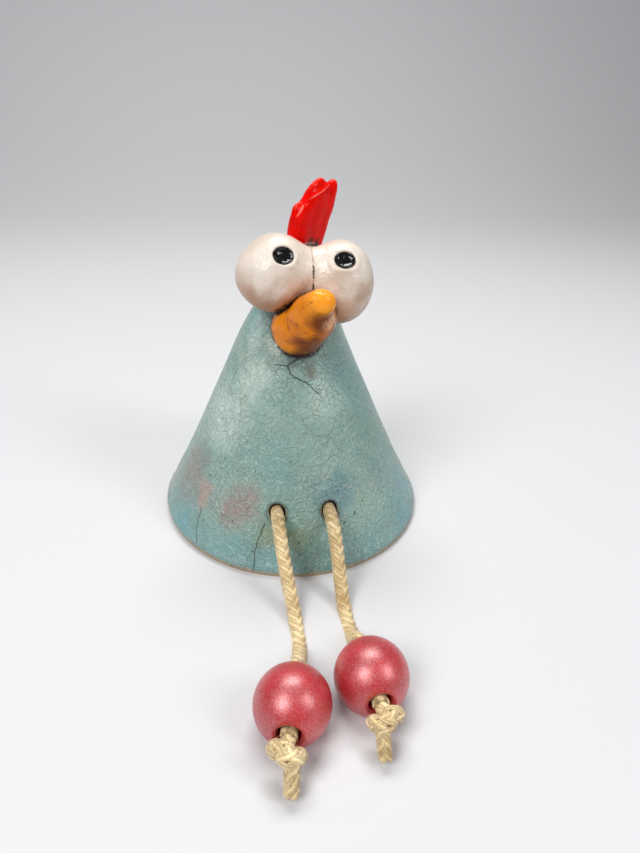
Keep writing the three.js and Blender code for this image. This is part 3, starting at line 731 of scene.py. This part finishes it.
def from_ball(point, eye):
    """About how far a point lies outside an eye's ball."""
    away = point - eye["centre"]
    half = eye["half"]
    level = sqrt((away.x / half.x) ** 2 + (away.y / half.y) ** 2 + (away.z / half.z) ** 2)
    slope = sqrt((away.x / half.x ** 2) ** 2 + (away.y / half.y ** 2) ** 2 + (away.z / half.z ** 2) ** 2)
    return level * (level - 1) / max(slope, 1e-9)


def from_pair(point):
    """The same for the two balls, with the crease between them filled to a soft saddle."""
    a, b = from_ball(point, eyes["left"]), from_ball(point, eyes["right"])
    share = max(eye_fillet - abs(a - b), 0) / eye_fillet
    return min(a, b) - share * share * eye_fillet / 4


head_pieces = {"body": body}
looks, pupil_spots = {}, {}
for name, side in (("left", -1), ("right", 1)):
    eye = eyes[name]
    half, centre = eye["half"], eye["centre"]
    a, r = radians(eye["azimuth"]), radians(eye["rise"])
    look = Vector((sin(a) * cos(r), -cos(a) * cos(r), sin(r)))
    reach = 1 / sqrt(sum((look[i] / half[i]) ** 2 for i in range(3)))
    looks[name], pupil_spots[name] = look, centre + look * reach
    brow = (Vector((0, 0, 1)) - look * look.z).normalized()
    shape = bmesh.new()
    bmesh.ops.create_icosphere(shape, subdivisions=6, radius=1)
    near = [
        e for e in shape.edges
        if all(v.co.normalized().dot(look) > 0.93 or 0.66 < -side * v.co.normalized().x < 0.86 for v in e.verts)
    ]
    bmesh.ops.subdivide_edges(shape, edges=near, cuts=1, use_grid_fill=True)
    for vertex in shape.verts:
        n = vertex.co.normalized()
        p = Vector((n.x * half.x, n.y * half.y, n.z * half.z))
        way, far = p.normalized(), p.length
        if -side * n.x > 0.2:
            for step in range(4):
                here = from_pair(centre + way * far)
                slope = (from_pair(centre + way * (far + 0.0001)) - here) / 0.0001
                far -= here / max(slope, 0.3)
        p = centre + way * far
        gap = (p.x - eye_seam) * side
        far += 0.00010 * lumps(p, 0.0062, 5.0 * side) + 0.00004 * lumps(p, 0.0021, 2.0 * side)
        if name == "left":
            far -= 0.0012 * max(0, n.dot(Vector((-0.66, -0.2, 0.72)))) ** 6
        if abs(gap) < 0.001:
            far -= (0.00001 + 0.0002 * max(0, lumps(p, 0.0012, 6.0))) * exp(-(gap / 0.00022) ** 2)
        p = centre + way * far
        off = p - pupil_spots[name]
        radial = sqrt(max(0, off.length_squared - off.dot(look) ** 2) + 0.29 * off.dot(brow) ** 2)
        if n.dot(look) > 0 and radial < 0.0045:
            ragged = 0.00014 * noise.noise(p / 0.0011)
            p -= look * 0.00125 * (1 - smoothstep(radial + ragged, 0.00175, 0.0025))
            p += n * 0.00016 * exp(-((radial - 0.0030) / 0.0006) ** 2)
        if (p.x - eye_seam) * side < 0.000005:
            p = centre + way * ((eye_seam + 0.000005 * side - centre.x) / way.x)
        vertex.co = p
    piece = as_object("eye_ball_" + name, [], [], [])
    shape.to_mesh(piece.data)
    shape.free()
    piece.data.set_sharp_from_angle(angle=radians(50))
    head_pieces["eye_" + name] = piece

# Beak
# A carrot of clay pinched out and pointed forwards, up and to one side, glazed glossy orange over
# a rough brown body that shows in its pits. Painted shade darkens it underneath and on the left,
# with a painted shadow under the tip and a painted highlight on its lower right.
beak_root = Vector((0.0001, -0.0125, head_top - 0.0169))
beak_tip = Vector((0.004, -0.0228, head_top - 0.0081))
beak_root_radius, beak_tip_radius, beak_sunk = 0.0066, 0.0029, 0.0046
beak_length = (beak_tip - beak_root).length
beak_turn = (beak_tip - beak_root).to_track_quat("Z", "Y")
beak_line = [(0.62, -0.85), (0.92, -0.4)]
beak_line = [(beak_root_radius * wide, beak_sunk * share) for wide, share in beak_line]
for wide, share in ((1, 0.06), (0.9, 0.26), (0.64, 0.48), (0.38, 0.7), (0.18, 0.88)):
    beak_line.append((beak_tip_radius + (beak_root_radius - beak_tip_radius) * wide, beak_length * share))
for degrees in (0, 20, 40, 60, 78):
    beak_line.append((beak_tip_radius * cos(radians(degrees)), beak_length + beak_tip_radius * sin(radians(degrees))))
beak_line.append((0.0002, beak_length + beak_tip_radius * 0.999))
rings = [(max(0.0001, p.x), p.y) for p in smooth_path([(r, z, 0) for r, z in beak_line], 0.00022)]
rings = [(0, -beak_sunk)] + rings + [(0, beak_length + beak_tip_radius)]


beak_cheek, beak_back = Vector((-0.956, -0.143, 0.257)), Vector((-0.62, 0.42, 0.66))


def beak_point(angle, radius, height):
    """A point of the beak, lumpy as it was pinched."""
    neck = exp(-((height / beak_length - 0.62) / 0.24) ** 2)
    radius *= 1 + 0.13 * neck
    flat = Vector((radius * sin(angle), -radius * cos(angle), height))
    p = beak_root + beak_turn @ flat + Vector((0.0005, -0.0002, -0.0003)) * neck
    out = beak_turn @ Vector((sin(angle), -cos(angle), 0.25)).normalized()
    full = smoothstep(height / beak_length, 0.35, 0.95) * max(0, out.dot(beak_cheek))
    thin = exp(-((height / beak_length - 0.42) / 0.2) ** 2) * max(0, out.dot(beak_back))
    p += beak_cheek * 0.0012 * full * min(1, radius / 0.002) - beak_back * 0.0004 * thin
    grown = 0.00026 * lumps(p, 0.0052, 9.0) + 0.00010 * lumps(p, 0.0021, 2.0)
    return p + out * (grown - 0.00012) * min(1, radius / 0.0015)


head_pieces["beak"] = turned_mesh("beak_clay", rings, 132, beak_point)

# Comb
# A blade of clay with a shoulder and two points, pushed onto the top of the head at a slant and
# glazed bright glossy red. It is built from many thin leaves side by side that are then fused.
comb_foot = Vector((0.0024, 0.0012, head_top - 0.0005))
comb_sunk, comb_thickness = 0.0035, 0.0044
comb_turn = radians(45)
comb_lean = 0.30573
comb_mesh = bmesh.new()
comb_tops = [(-0.006, 0.0098), (-0.0009, 0.0149), (0.0005, 0.0142), (0.0016, 0.0131), (0.0030, 0.0140), (0.0039, 0.0144)]
for i in range(19):
    share = i / 18
    foot, tip = -0.0027 + 0.0061 * share, -0.006 + 0.0099 * share
    half = 0.0025 + 0.0006 * sin(pi * share)
    left, right = [(a, b) for a, b in zip(comb_tops, comb_tops[1:]) if a[0] <= tip + 1e-7][-1]
    tall = left[1] + (right[1] - left[1]) * smoothstep(tip, left[0], right[0])
    petal_line = [(half * 0.9, -comb_sunk), (half, -comb_sunk * 0.3)]
    petal_line += [(half * w, tall * u) for w, u in ((1, 0.25), (0.95, 0.5), (0.84, 0.7), (0.66, 0.86), (0.38, 0.96))]
    petal_line = [(p.x, p.y) for p in smooth_path([(w, u, 0) for w, u in petal_line] + [(0.00005, tall, 0)], 0.0003)]
    petal_line = [(0, -comb_sunk)] + [(max(w, 0.00004), u) for w, u in petal_line] + [(0, tall + 0.00002)]

    def petal_point(angle, radius, height):
        """A point of a petal: flattened, turned and leaning."""
        along = radius * sin(angle) + foot + (tip - foot) * height / tall
        through = -radius * cos(angle) / half * comb_thickness / 2
        return comb_foot + Vector((
            along * sin(comb_turn) - through * cos(comb_turn) + comb_lean * height,
            along * cos(comb_turn) + through * sin(comb_turn), height,
        ))

    petal = turned_mesh("petal", petal_line, 48, petal_point)
    comb_mesh.from_mesh(petal.data)
    bpy.data.objects.remove(petal)
bmesh.ops.recalc_face_normals(comb_mesh, faces=comb_mesh.faces)
comb = as_object("comb_clay", [], [], [])
comb_mesh.to_mesh(comb.data)
comb_mesh.free()
joined = comb.modifiers.new("joined", "REMESH")
joined.mode = "VOXEL"
joined.voxel_size = 0.00022
pressed = comb.modifiers.new("pressed", "SMOOTH")
pressed.iterations, pressed.factor = 14, 0.6
finished(comb)
straight_out = [vertex.normal.copy() for vertex in comb.data.vertices]
for vertex, out in zip(comb.data.vertices, straight_out):
    p = vertex.co - comb_foot
    along = (p.x - comb_lean * p.z) * sin(comb_turn) + p.y * cos(comb_turn)
    forward = ((p.x - comb_lean * p.z) * cos(comb_turn) - p.y * sin(comb_turn)) / comb_thickness
    cut = 0.00022 * exp(-((along + 0.0042 + 0.16 * p.z) / 0.0005) ** 2) * (1 - smoothstep(p.z, 0.0035, 0.0085))
    ridge = 0.0128 + 0.45 * along - 175000 * max(0, -0.0045 - along) ** 3
    above = smoothstep(p.z - ridge, -0.0003, 0.0010)
    vertex.co += out * (0.00018 * lumps(vertex.co, 0.0034, 4.0) + 0.00012 - cut)
    vertex.co -= Vector((cos(comb_turn), -sin(comb_turn), 0)) * 0.0008 * above * min(1, max(0, forward + 0.5))
head_pieces["comb"] = comb

# How close each head piece comes to the next, for painted shade in the seams, how hollow each
# spot lies, and how far it turns away from the light, for painted shade on the undersides.
trees = {}
for name, piece in head_pieces.items():
    piece.data.update()
    trees[name] = BVHTree.FromPolygons([v.co for v in piece.data.vertices], [tuple(f.vertices) for f in piece.data.polygons])
for name, piece in head_pieces.items():
    mesh = piece.data
    if not name.startswith("eye"):
        mesh.polygons.foreach_set("use_smooth", [True] * len(mesh.polygons))
    others = [tree for other, tree in trees.items() if other != name]
    seam = mesh.attributes.new("seam", "FLOAT", "POINT")
    under = mesh.attributes.new("under", "FLOAT", "POINT")
    hollow = mesh.attributes.new("hollow", "FLOAT", "POINT")
    close, down, deep = [], [], [0.0] * len(mesh.vertices)
    count = [0] * len(mesh.vertices)
    for vertex in mesh.vertices:
        nearest = 1.0
        if vertex.co.z > 0.04:
            for other in others:
                found = other.find_nearest(vertex.co, 0.004)
                if found[3] is not None:
                    nearest = min(nearest, found[3])
        close.append(exp(-nearest / 0.0007))
        lit = Vector((-0.44, -0.1, 0.89)) if name == "beak" else Vector((0, 0, 1))
        down.append(0.5 - 0.5 * vertex.normal.dot(lit))
    for edge in mesh.edges:
        a, b = edge.vertices
        step = mesh.vertices[b].co - mesh.vertices[a].co
        length = max(step.length, 1e-6)
        deep[a] += step.dot(mesh.vertices[a].normal) / length
        deep[b] -= step.dot(mesh.vertices[b].normal) / length
        count[a] += 1
        count[b] += 1
    seam.data.foreach_set("value", close)
    under.data.foreach_set("value", down)
    hollow.data.foreach_set("value", [d / max(1, c) for d, c in zip(deep, count)])

white = bpy.data.materials.new("off-white glaze")
white.use_nodes = True
tree = white.node_tree
skin = tree.nodes["Principled BSDF"]
place = put(tree, "ShaderNodeTexCoord").outputs["Object"]
seam = put(tree, "ShaderNodeAttribute", attribute_name="seam").outputs["Fac"]
under = put(tree, "ShaderNodeAttribute", attribute_name="under").outputs["Fac"]
wide = put(tree, "ShaderNodeTexNoise", {"Vector": place, "Scale": 130.0, "Detail": 4.0}).outputs["Fac"]
small = put(tree, "ShaderNodeTexNoise", {"Vector": place, "Scale": 620.0, "Detail": 5.0, "Roughness": 0.6}).outputs["Fac"]
tone = blend_in(tree, faded(tree, wide, 0.35, 0.65), "e2d6c9", "d3c4b4")
# Pink-brown stain together with painted shade that darkens the undersides.
stain_and_underside_shade = sums(tree, "MULTIPLY_ADD", sums(tree, "SUBTRACT", wide, 0.5), 0.9, under)
tone = blend_in(tree, faded(tree, stain_and_underside_shade, 0.36, 0.82), tone, "a67658", 0.8)
for middle, reach, code, strength in (
    ((-0.0020, -0.0165, head_top - 0.0120), 0.0066, "cc7f42", 0.85),
    ((0.0080, -0.0175, head_top - 0.0125), 0.0058, "c38a5e", 0.65),
    ((-0.0080, -0.0150, head_top - 0.0115), 0.0064, "a5795a", 0.75),
    ((0.0130, -0.0140, head_top - 0.0145), 0.0060, "a98468", 0.6),
):
    mask = grouped(tree, cloud, Middle=middle, Reach=reach, Raggedness=0.005).outputs[0]
    tone = blend_in(tree, mask, tone, code, strength)
fine = grouped(tree, crackle, Cells_per_metre=620.0, Line_width=0.03, Waver=0.0012)
broken = faded(tree, small, 0.48, 0.62)
# Brown crackle lines and specks show only where this painted shade falls.
tone = blend_in(tree, sums(tree, "MULTIPLY", fine.outputs["Lines"], sums(tree, "MULTIPLY", broken, under)), tone, "8a6a55", 0.6)
specks = grouped(tree, pits, Per_metre=1100.0, Share=0.02, Size=0.3).outputs[0]
tone = blend_in(tree, sums(tree, "MULTIPLY", specks, faded(tree, under, 0.2, 0.6)), tone, "5d4334", 0.8)
below = faded(tree, put(tree, "ShaderNodeSeparateXYZ", {0: place}).outputs["Z"], head_top + 0.0005, head_top - 0.003)
dashes = put(tree, "ShaderNodeTexNoise", {"Vector": place, "Scale": 760.0, "Detail": 2.0}).outputs["Fac"]
dashes = faded(tree, sums(tree, "MULTIPLY_ADD", below, 0.06, dashes), 0.49, 0.56)
# Painted contact shade: a light brown band close to the other pieces; the broken dark dashes below the top are brown
# marks along the seams.
tone = blend_in(tree, faded(tree, seam, 0.5, 0.98), tone, "b08a6c", 0.25)
dashes = sums(tree, "MULTIPLY", dashes, sums(tree, "MULTIPLY", below, faded(tree, seam, 0.55, 0.85)))
tone = blend_in(tree, dashes, tone, "3a2216", 0.92)
# Painted shade in the gap between the beak and the left eye.
beak_gap_shade = [((-0.0027, -0.0166, head_top - 0.0105), 0.0021), ((-0.0042, -0.0152, head_top - 0.0118), 0.0018)]
for middle, reach in beak_gap_shade:
    mask = grouped(tree, cloud, Middle=middle, Reach=reach, Raggedness=0.0042).outputs[0]
    tone = blend_in(tree, mask, tone, "2b1a12", 0.9)
tree.links.new(tone, skin.inputs["Base Color"])
skin.inputs["Roughness"].default_value = 0.24
ripple = put(tree, "ShaderNodeTexNoise", {"Vector": place, "Scale": 1500.0, "Detail": 2.0}).outputs["Fac"]
relief = sums(tree, "SUBTRACT", sums(tree, "MULTIPLY", wide, 2.0), sums(tree, "MULTIPLY", specks, 0.8))
relief = sums(tree, "ADD", sums(tree, "MULTIPLY_ADD", ripple, 1.6, relief), small)
tree.links.new(put(tree, "ShaderNodeBump", {"Height": relief, "Strength": 0.8, "Distance": 0.00011}).outputs[0],
               skin.inputs["Normal"])
for name in ("left", "right"):
    piece = head_pieces["eye_" + name]
    piece.data.materials.append(white)
    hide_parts("eye_" + name)
    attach(piece, "hen")

orange = bpy.data.materials.new("orange glaze")
orange.use_nodes = True
tree = orange.node_tree
skin = tree.nodes["Principled BSDF"]
place = put(tree, "ShaderNodeTexCoord").outputs["Object"]
seam = put(tree, "ShaderNodeAttribute", attribute_name="seam").outputs["Fac"]
under = put(tree, "ShaderNodeAttribute", attribute_name="under").outputs["Fac"]
wide = put(tree, "ShaderNodeTexNoise", {"Vector": place, "Scale": 210.0, "Detail": 4.0}).outputs["Fac"]
small = put(tree, "ShaderNodeTexNoise", {"Vector": place, "Scale": 900.0, "Detail": 5.0, "Roughness": 0.65}).outputs["Fac"]
tone = blend_in(tree, faded(tree, wide, 0.35, 0.65), "e2850e", "c86e08")
shaded = sums(tree, "MULTIPLY_ADD", sums(tree, "SUBTRACT", wide, 0.5), 1.1, under)
tone = blend_in(tree, faded(tree, shaded, 0.46, 0.9), tone, "74370c", 0.88)
for middle, reach, code, strength in (
    ((0.0038, -0.0240, head_top - 0.0070), 0.0052, "fba22c", 0.85),
    # Painted shadow under the tip.
    ((0.0031, -0.0232, head_top - 0.0117), 0.0035, "642c07", 0.85),
    # Painted highlight: the pale reflection of the right lamp on the lower right.
    ((0.0058, -0.0224, head_top - 0.0124), 0.0026, "e2a878", 0.8),
    ((0.0010, -0.0190, head_top - 0.0172), 0.0046, "7a3a0c", 0.7),
    ((0.0008, -0.0172, head_top - 0.0216), 0.0042, "5e2a0c", 0.7),
    # Painted shade, darker towards the left edge.
    ((-0.0031, -0.0165, head_top - 0.0164), 0.0036, "b0600e", 0.6),
):
    mask = grouped(tree, cloud, Middle=middle, Reach=reach, Raggedness=0.0026).outputs[0]
    tone = blend_in(tree, mask, tone, code, strength)
wear_and_edge_shade = faded(tree, sums(tree, "MULTIPLY", small, sums(tree, "MULTIPLY_ADD", wide, 0.8, 0.6)), 0.56, 0.7)
tone = blend_in(tree, wear_and_edge_shade, tone, "7a3c10", 0.7)
specks = grouped(tree, pits, Per_metre=1500.0, Share=0.08, Size=0.28).outputs[0]
tone = blend_in(tree, specks, tone, "5a2b0c", 0.75)
# Painted shade where the beak meets the eyes and the body.
beak_seam_shade = sums(tree, "MULTIPLY_ADD", small, 0.9, sums(tree, "SUBTRACT", seam, 0.45))
tone = blend_in(tree, faded(tree, beak_seam_shade, 0.24, 0.44), tone, "27150c", 0.95)
# The same painted shade on the beak's side of the gap.
for middle, reach in beak_gap_shade:
    mask = grouped(tree, cloud, Middle=middle, Reach=reach, Raggedness=0.0042).outputs[0]
    tone = blend_in(tree, mask, tone, "27150c", 0.9)
tree.links.new(tone, skin.inputs["Base Color"])
skin.inputs["Roughness"].default_value = 0.18
skin.inputs["Specular IOR Level"].default_value = 0.22
relief = sums(tree, "SUBTRACT", sums(tree, "MULTIPLY", wide, 2.2), sums(tree, "MULTIPLY", specks, 1.2))
relief = sums(tree, "SUBTRACT", relief, sums(tree, "MULTIPLY", wear_and_edge_shade, 0.8))
tree.links.new(put(tree, "ShaderNodeBump", {"Height": relief, "Strength": 0.7, "Distance": 0.00009}).outputs[0],
               skin.inputs["Normal"])
beak = head_pieces["beak"]
beak.data.materials.append(orange)
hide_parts("beak")
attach(beak, "hen")

red = bpy.data.materials.new("red glaze")
red.use_nodes = True
tree = red.node_tree
skin = tree.nodes["Principled BSDF"]
place = put(tree, "ShaderNodeTexCoord").outputs["Object"]
seam = put(tree, "ShaderNodeAttribute", attribute_name="seam").outputs["Fac"]
hollow = put(tree, "ShaderNodeAttribute", attribute_name="hollow").outputs["Fac"]
wide = put(tree, "ShaderNodeTexNoise", {"Vector": place, "Scale": 240.0, "Detail": 4.0}).outputs["Fac"]
small = put(tree, "ShaderNodeTexNoise", {"Vector": place, "Scale": 1100.0, "Detail": 4.0}).outputs["Fac"]
tone = blend_in(tree, faded(tree, wide, 0.35, 0.7), "e80c02", "d00802")
# Painted highlight: pale pink along the sharp convex edges and ridges.
tone = blend_in(tree, faded(tree, hollow, -0.045, -0.13), tone, "f98576", 0.85)
tone = blend_in(tree, faded(tree, hollow, 0.03, 0.12), tone, "7d0b07", 0.8)
specks = grouped(tree, pits, Per_metre=1200.0, Share=0.03, Size=0.3).outputs[0]
tone = blend_in(tree, specks, tone, "5a0d08", 0.7)
tone = blend_in(tree, faded(tree, sums(tree, "MULTIPLY", seam, sums(tree, "ADD", small, 0.45)), 0.25, 0.6), tone, "c9b6a6", 0.8)
tone = blend_in(tree, faded(tree, sums(tree, "MULTIPLY", seam, small), 0.24, 0.40), tone, "2b211c", 0.85)
for middle, reach in (((0.0035, -0.0008, head_top + 0.0006), 0.0017), ((0.0052, 0.0012, head_top), 0.0019)):
    mask = grouped(tree, cloud, Middle=middle, Reach=reach, Raggedness=0.0030).outputs[0]
    tone = blend_in(tree, sums(tree, "MULTIPLY", mask, faded(tree, small, 0.36, 0.52)), tone, "3a2720", 0.85)
tree.links.new(tone, skin.inputs["Base Color"])
skin.inputs["Roughness"].default_value = 0.14
skin.inputs["Specular IOR Level"].default_value = 0.08
relief = sums(tree, "SUBTRACT", sums(tree, "MULTIPLY", wide, 2.0), specks)
tree.links.new(put(tree, "ShaderNodeBump", {"Height": relief, "Strength": 0.5, "Distance": 0.00008}).outputs[0],
               skin.inputs["Normal"])
comb.data.materials.clear()
comb.data.materials.append(red)
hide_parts("comb")
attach(comb, "hen")

# Pupils
# Pools of thick black glaze that lie in the dimples of the eyes and climb a little up their sides.
black = bpy.data.materials.new("black glaze")
black.use_nodes = True
tree = black.node_tree
skin = tree.nodes["Principled BSDF"]
place = put(tree, "ShaderNodeTexCoord").outputs["Object"]
small = put(tree, "ShaderNodeTexNoise", {"Vector": place, "Scale": 1500.0, "Detail": 4.0}).outputs["Fac"]
tone = blend_in(tree, faded(tree, small, 0.45, 0.75), "030303", "121113")
tree.links.new(tone, skin.inputs["Base Color"])
skin.inputs["Roughness"].default_value = 0.08
tree.links.new(put(tree, "ShaderNodeBump", {"Height": small, "Strength": 0.6, "Distance": 0.0001}).outputs[0],
               skin.inputs["Normal"])
for name in ("left", "right"):
    side_seed = 0.004 if name == "left" else 0.009
    floor = pupil_spots[name] - looks[name] * 0.0009
    turn = looks[name].to_track_quat("Z", "Y")
    pool = [(0, -0.0004), (0.0012, -0.0004), (0.0019, -0.00036)]
    pool += [(0.00212, -0.0001), (0.00224, 0.0003), (0.00226, 0.0006), (0.00216, 0.00066)]
    pool += [(0.002, 0.0005), (0.0018, 0.00032), (0.0015, 0.00018), (0.0011, 0.00008), (0.0006, 0.00002), (0, 0)]

    def pool_point(angle, radius, height):
        """A point of the pool, with a ragged shore."""
        shore = radius * (1 + 0.05 * noise.noise(Vector((sin(angle) * 2.2, cos(angle) * 2.2, 3.3))))
        flow = 0.00016 * noise.noise(Vector((shore * sin(angle), shore * cos(angle), side_seed)) / 0.0009)
        return floor + turn @ Vector((shore * sin(angle), -0.88 * shore * cos(angle), height + flow * (height > -0.0002)))

    piece = turned_mesh("pupil_pool_" + name, pool, 64, pool_point)
    piece.data.polygons.foreach_set("use_smooth", [True] * len(piece.data.polygons))
    piece.data.materials.append(black)
    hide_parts("pupil_" + name)
    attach(piece, "hen")


# Beads
# Turned wooden beads with a rounded rim to the bore, in a pearly pink-red lacquer. Each is free
# to turn on its cord.
pearl = bpy.data.materials.new("pearl lacquer")
pearl.use_nodes = True
tree = pearl.node_tree
skin = tree.nodes["Principled BSDF"]
place = put(tree, "ShaderNodeTexCoord").outputs["Object"]
wide = put(tree, "ShaderNodeTexNoise", {"Vector": place, "Scale": 160.0, "Detail": 3.0}).outputs["Fac"]
flakes = put(tree, "ShaderNodeTexNoise", {"Vector": place, "Scale": 3600.0, "Detail": 3.0}).outputs["Fac"]
tone = blend_in(tree, faded(tree, wide, 0.35, 0.65), "bf1a26", "a8141f")
tone = blend_in(tree, faded(tree, flakes, 0.5, 0.72), tone, "e88c92", 0.12)
tree.links.new(tone, skin.inputs["Base Color"])
tree.links.new(sums(tree, "MULTIPLY_ADD", flakes, 0.3, 0.23), skin.inputs["Roughness"])
tree.links.new(sums(tree, "MULTIPLY_ADD", faded(tree, flakes, 0.4, 0.6), 0.8, 0.2), skin.inputs["Coat Weight"])
skin.inputs["Metallic"].default_value = 0.12
skin.inputs["Specular IOR Level"].default_value = 1.0
skin.inputs["Coat Roughness"].default_value = 0.42
skin.inputs["Coat IOR"].default_value = 1.9
tree.links.new(put(tree, "ShaderNodeBump", {"Height": flakes, "Strength": 0.6, "Distance": 0.00005}).outputs[0],
               skin.inputs["Normal"])
bore_radius, rim = 0.00215, 0.0007
for name in ("left", "right"):
    bead_line = [(bore_radius, z) for z in (-0.0045, 0, 0.0045)]
    half = bead_length / 2
    rim_angle = sqrt(1 - ((bore_radius + rim) / bead_radius) ** 2)
    for degrees in range(0, 91, 18):
        a = radians(degrees)
        bead_line.append((bore_radius + rim * (1 - cos(a)), half - rim * (1 - sin(a))))
    top = half - 0.00002
    for i in range(1, 40):
        z = top - 2 * top * i / 40
        bead_line.append((sqrt(max(0, 1 - (z / half) ** 2 * rim_angle ** 2)) * bead_radius, z))
    for degrees in range(90, -1, -18):
        a = radians(degrees)
        bead_line.append((bore_radius + rim * (1 - cos(a)), -half + rim * (1 - sin(a))))
    turn = bore[name].to_track_quat("Z", "Y")
    vertices, faces, count = [], [], 72
    for radius, z in bead_line:
        vertices += [
            bead_centre[name] + turn @ Vector((radius * cos(tau * i / count), radius * sin(tau * i / count), z))
            for i in range(count)
        ]
    for ring in range(len(bead_line)):
        after = (ring + 1) % len(bead_line)
        for i in range(count):
            j = (i + 1) % count
            faces.append((ring * count + i, ring * count + j, after * count + j, after * count + i))
    piece = as_object("bead_turned_" + name, vertices, [], faces)
    check = bmesh.new()
    check.from_mesh(piece.data)
    bmesh.ops.recalc_face_normals(check, faces=check.faces)
    check.to_mesh(piece.data)
    check.free()
    piece.data.polygons.foreach_set("use_smooth", [True] * len(piece.data.polygons))
    piece.data.materials.append(pearl)
    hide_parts("bead_" + name)
    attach(piece, name + "_bead")
    bead_centre[name + "_piece"] = piece

# Knots
# The cord is tied in an overhand knot below each bead, pulled tight, and its end is cut off short
# and frays.
knots = {}
for name, side in (("left", -1), ("right", 1)):
    face = bead_centre[name] + bore[name] * bead_length / 2
    turn = bore[name].to_track_quat("Z", "Y")
    wraps = [
        (0, 0, 0.0004), (0.0002 * side, 0, 0.0018), (0.0006 * side, 0.0002, 0.0036), (-0.0004 * side, 0.0011, 0.0049),
        (-0.0018 * side, 0.0008, 0.0042), (-0.0021 * side, -0.0006, 0.0028), (-0.0010 * side, -0.0018, 0.0019),
        (0.0008 * side, -0.0019, 0.0018), (0.0021 * side, -0.0007, 0.0022), (0.0018 * side, 0.0011, 0.0030),
        (0.0002 * side, 0.0017, 0.0036), (-0.0012 * side, 0.0006, 0.0046), (-0.0011 * side, -0.0009, 0.0053),
    ]
    route = [face + turn @ Vector(w) for w in wraps]
    end = route[-1]
    for forward, down in ((0.0006, 0.0010), (0.0011, 0.0024), (0.0016, 0.0034)):
        route.append(Vector((end.x + side * forward * 0.12, end.y - forward, max(0.0015, end.z - down))))
    knots[name] = braided("knot_tied_" + name, route, strand=0.86)
    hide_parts("knot_" + name)
    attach(knots[name], name + "_leg")

for name in bend:
    leg, route = legs[name], leg_paths[name]
    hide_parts("leg_" + name)
    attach(leg, name + "_leg")
    length = sum((b - a).length for a, b in zip(route, route[1:]))
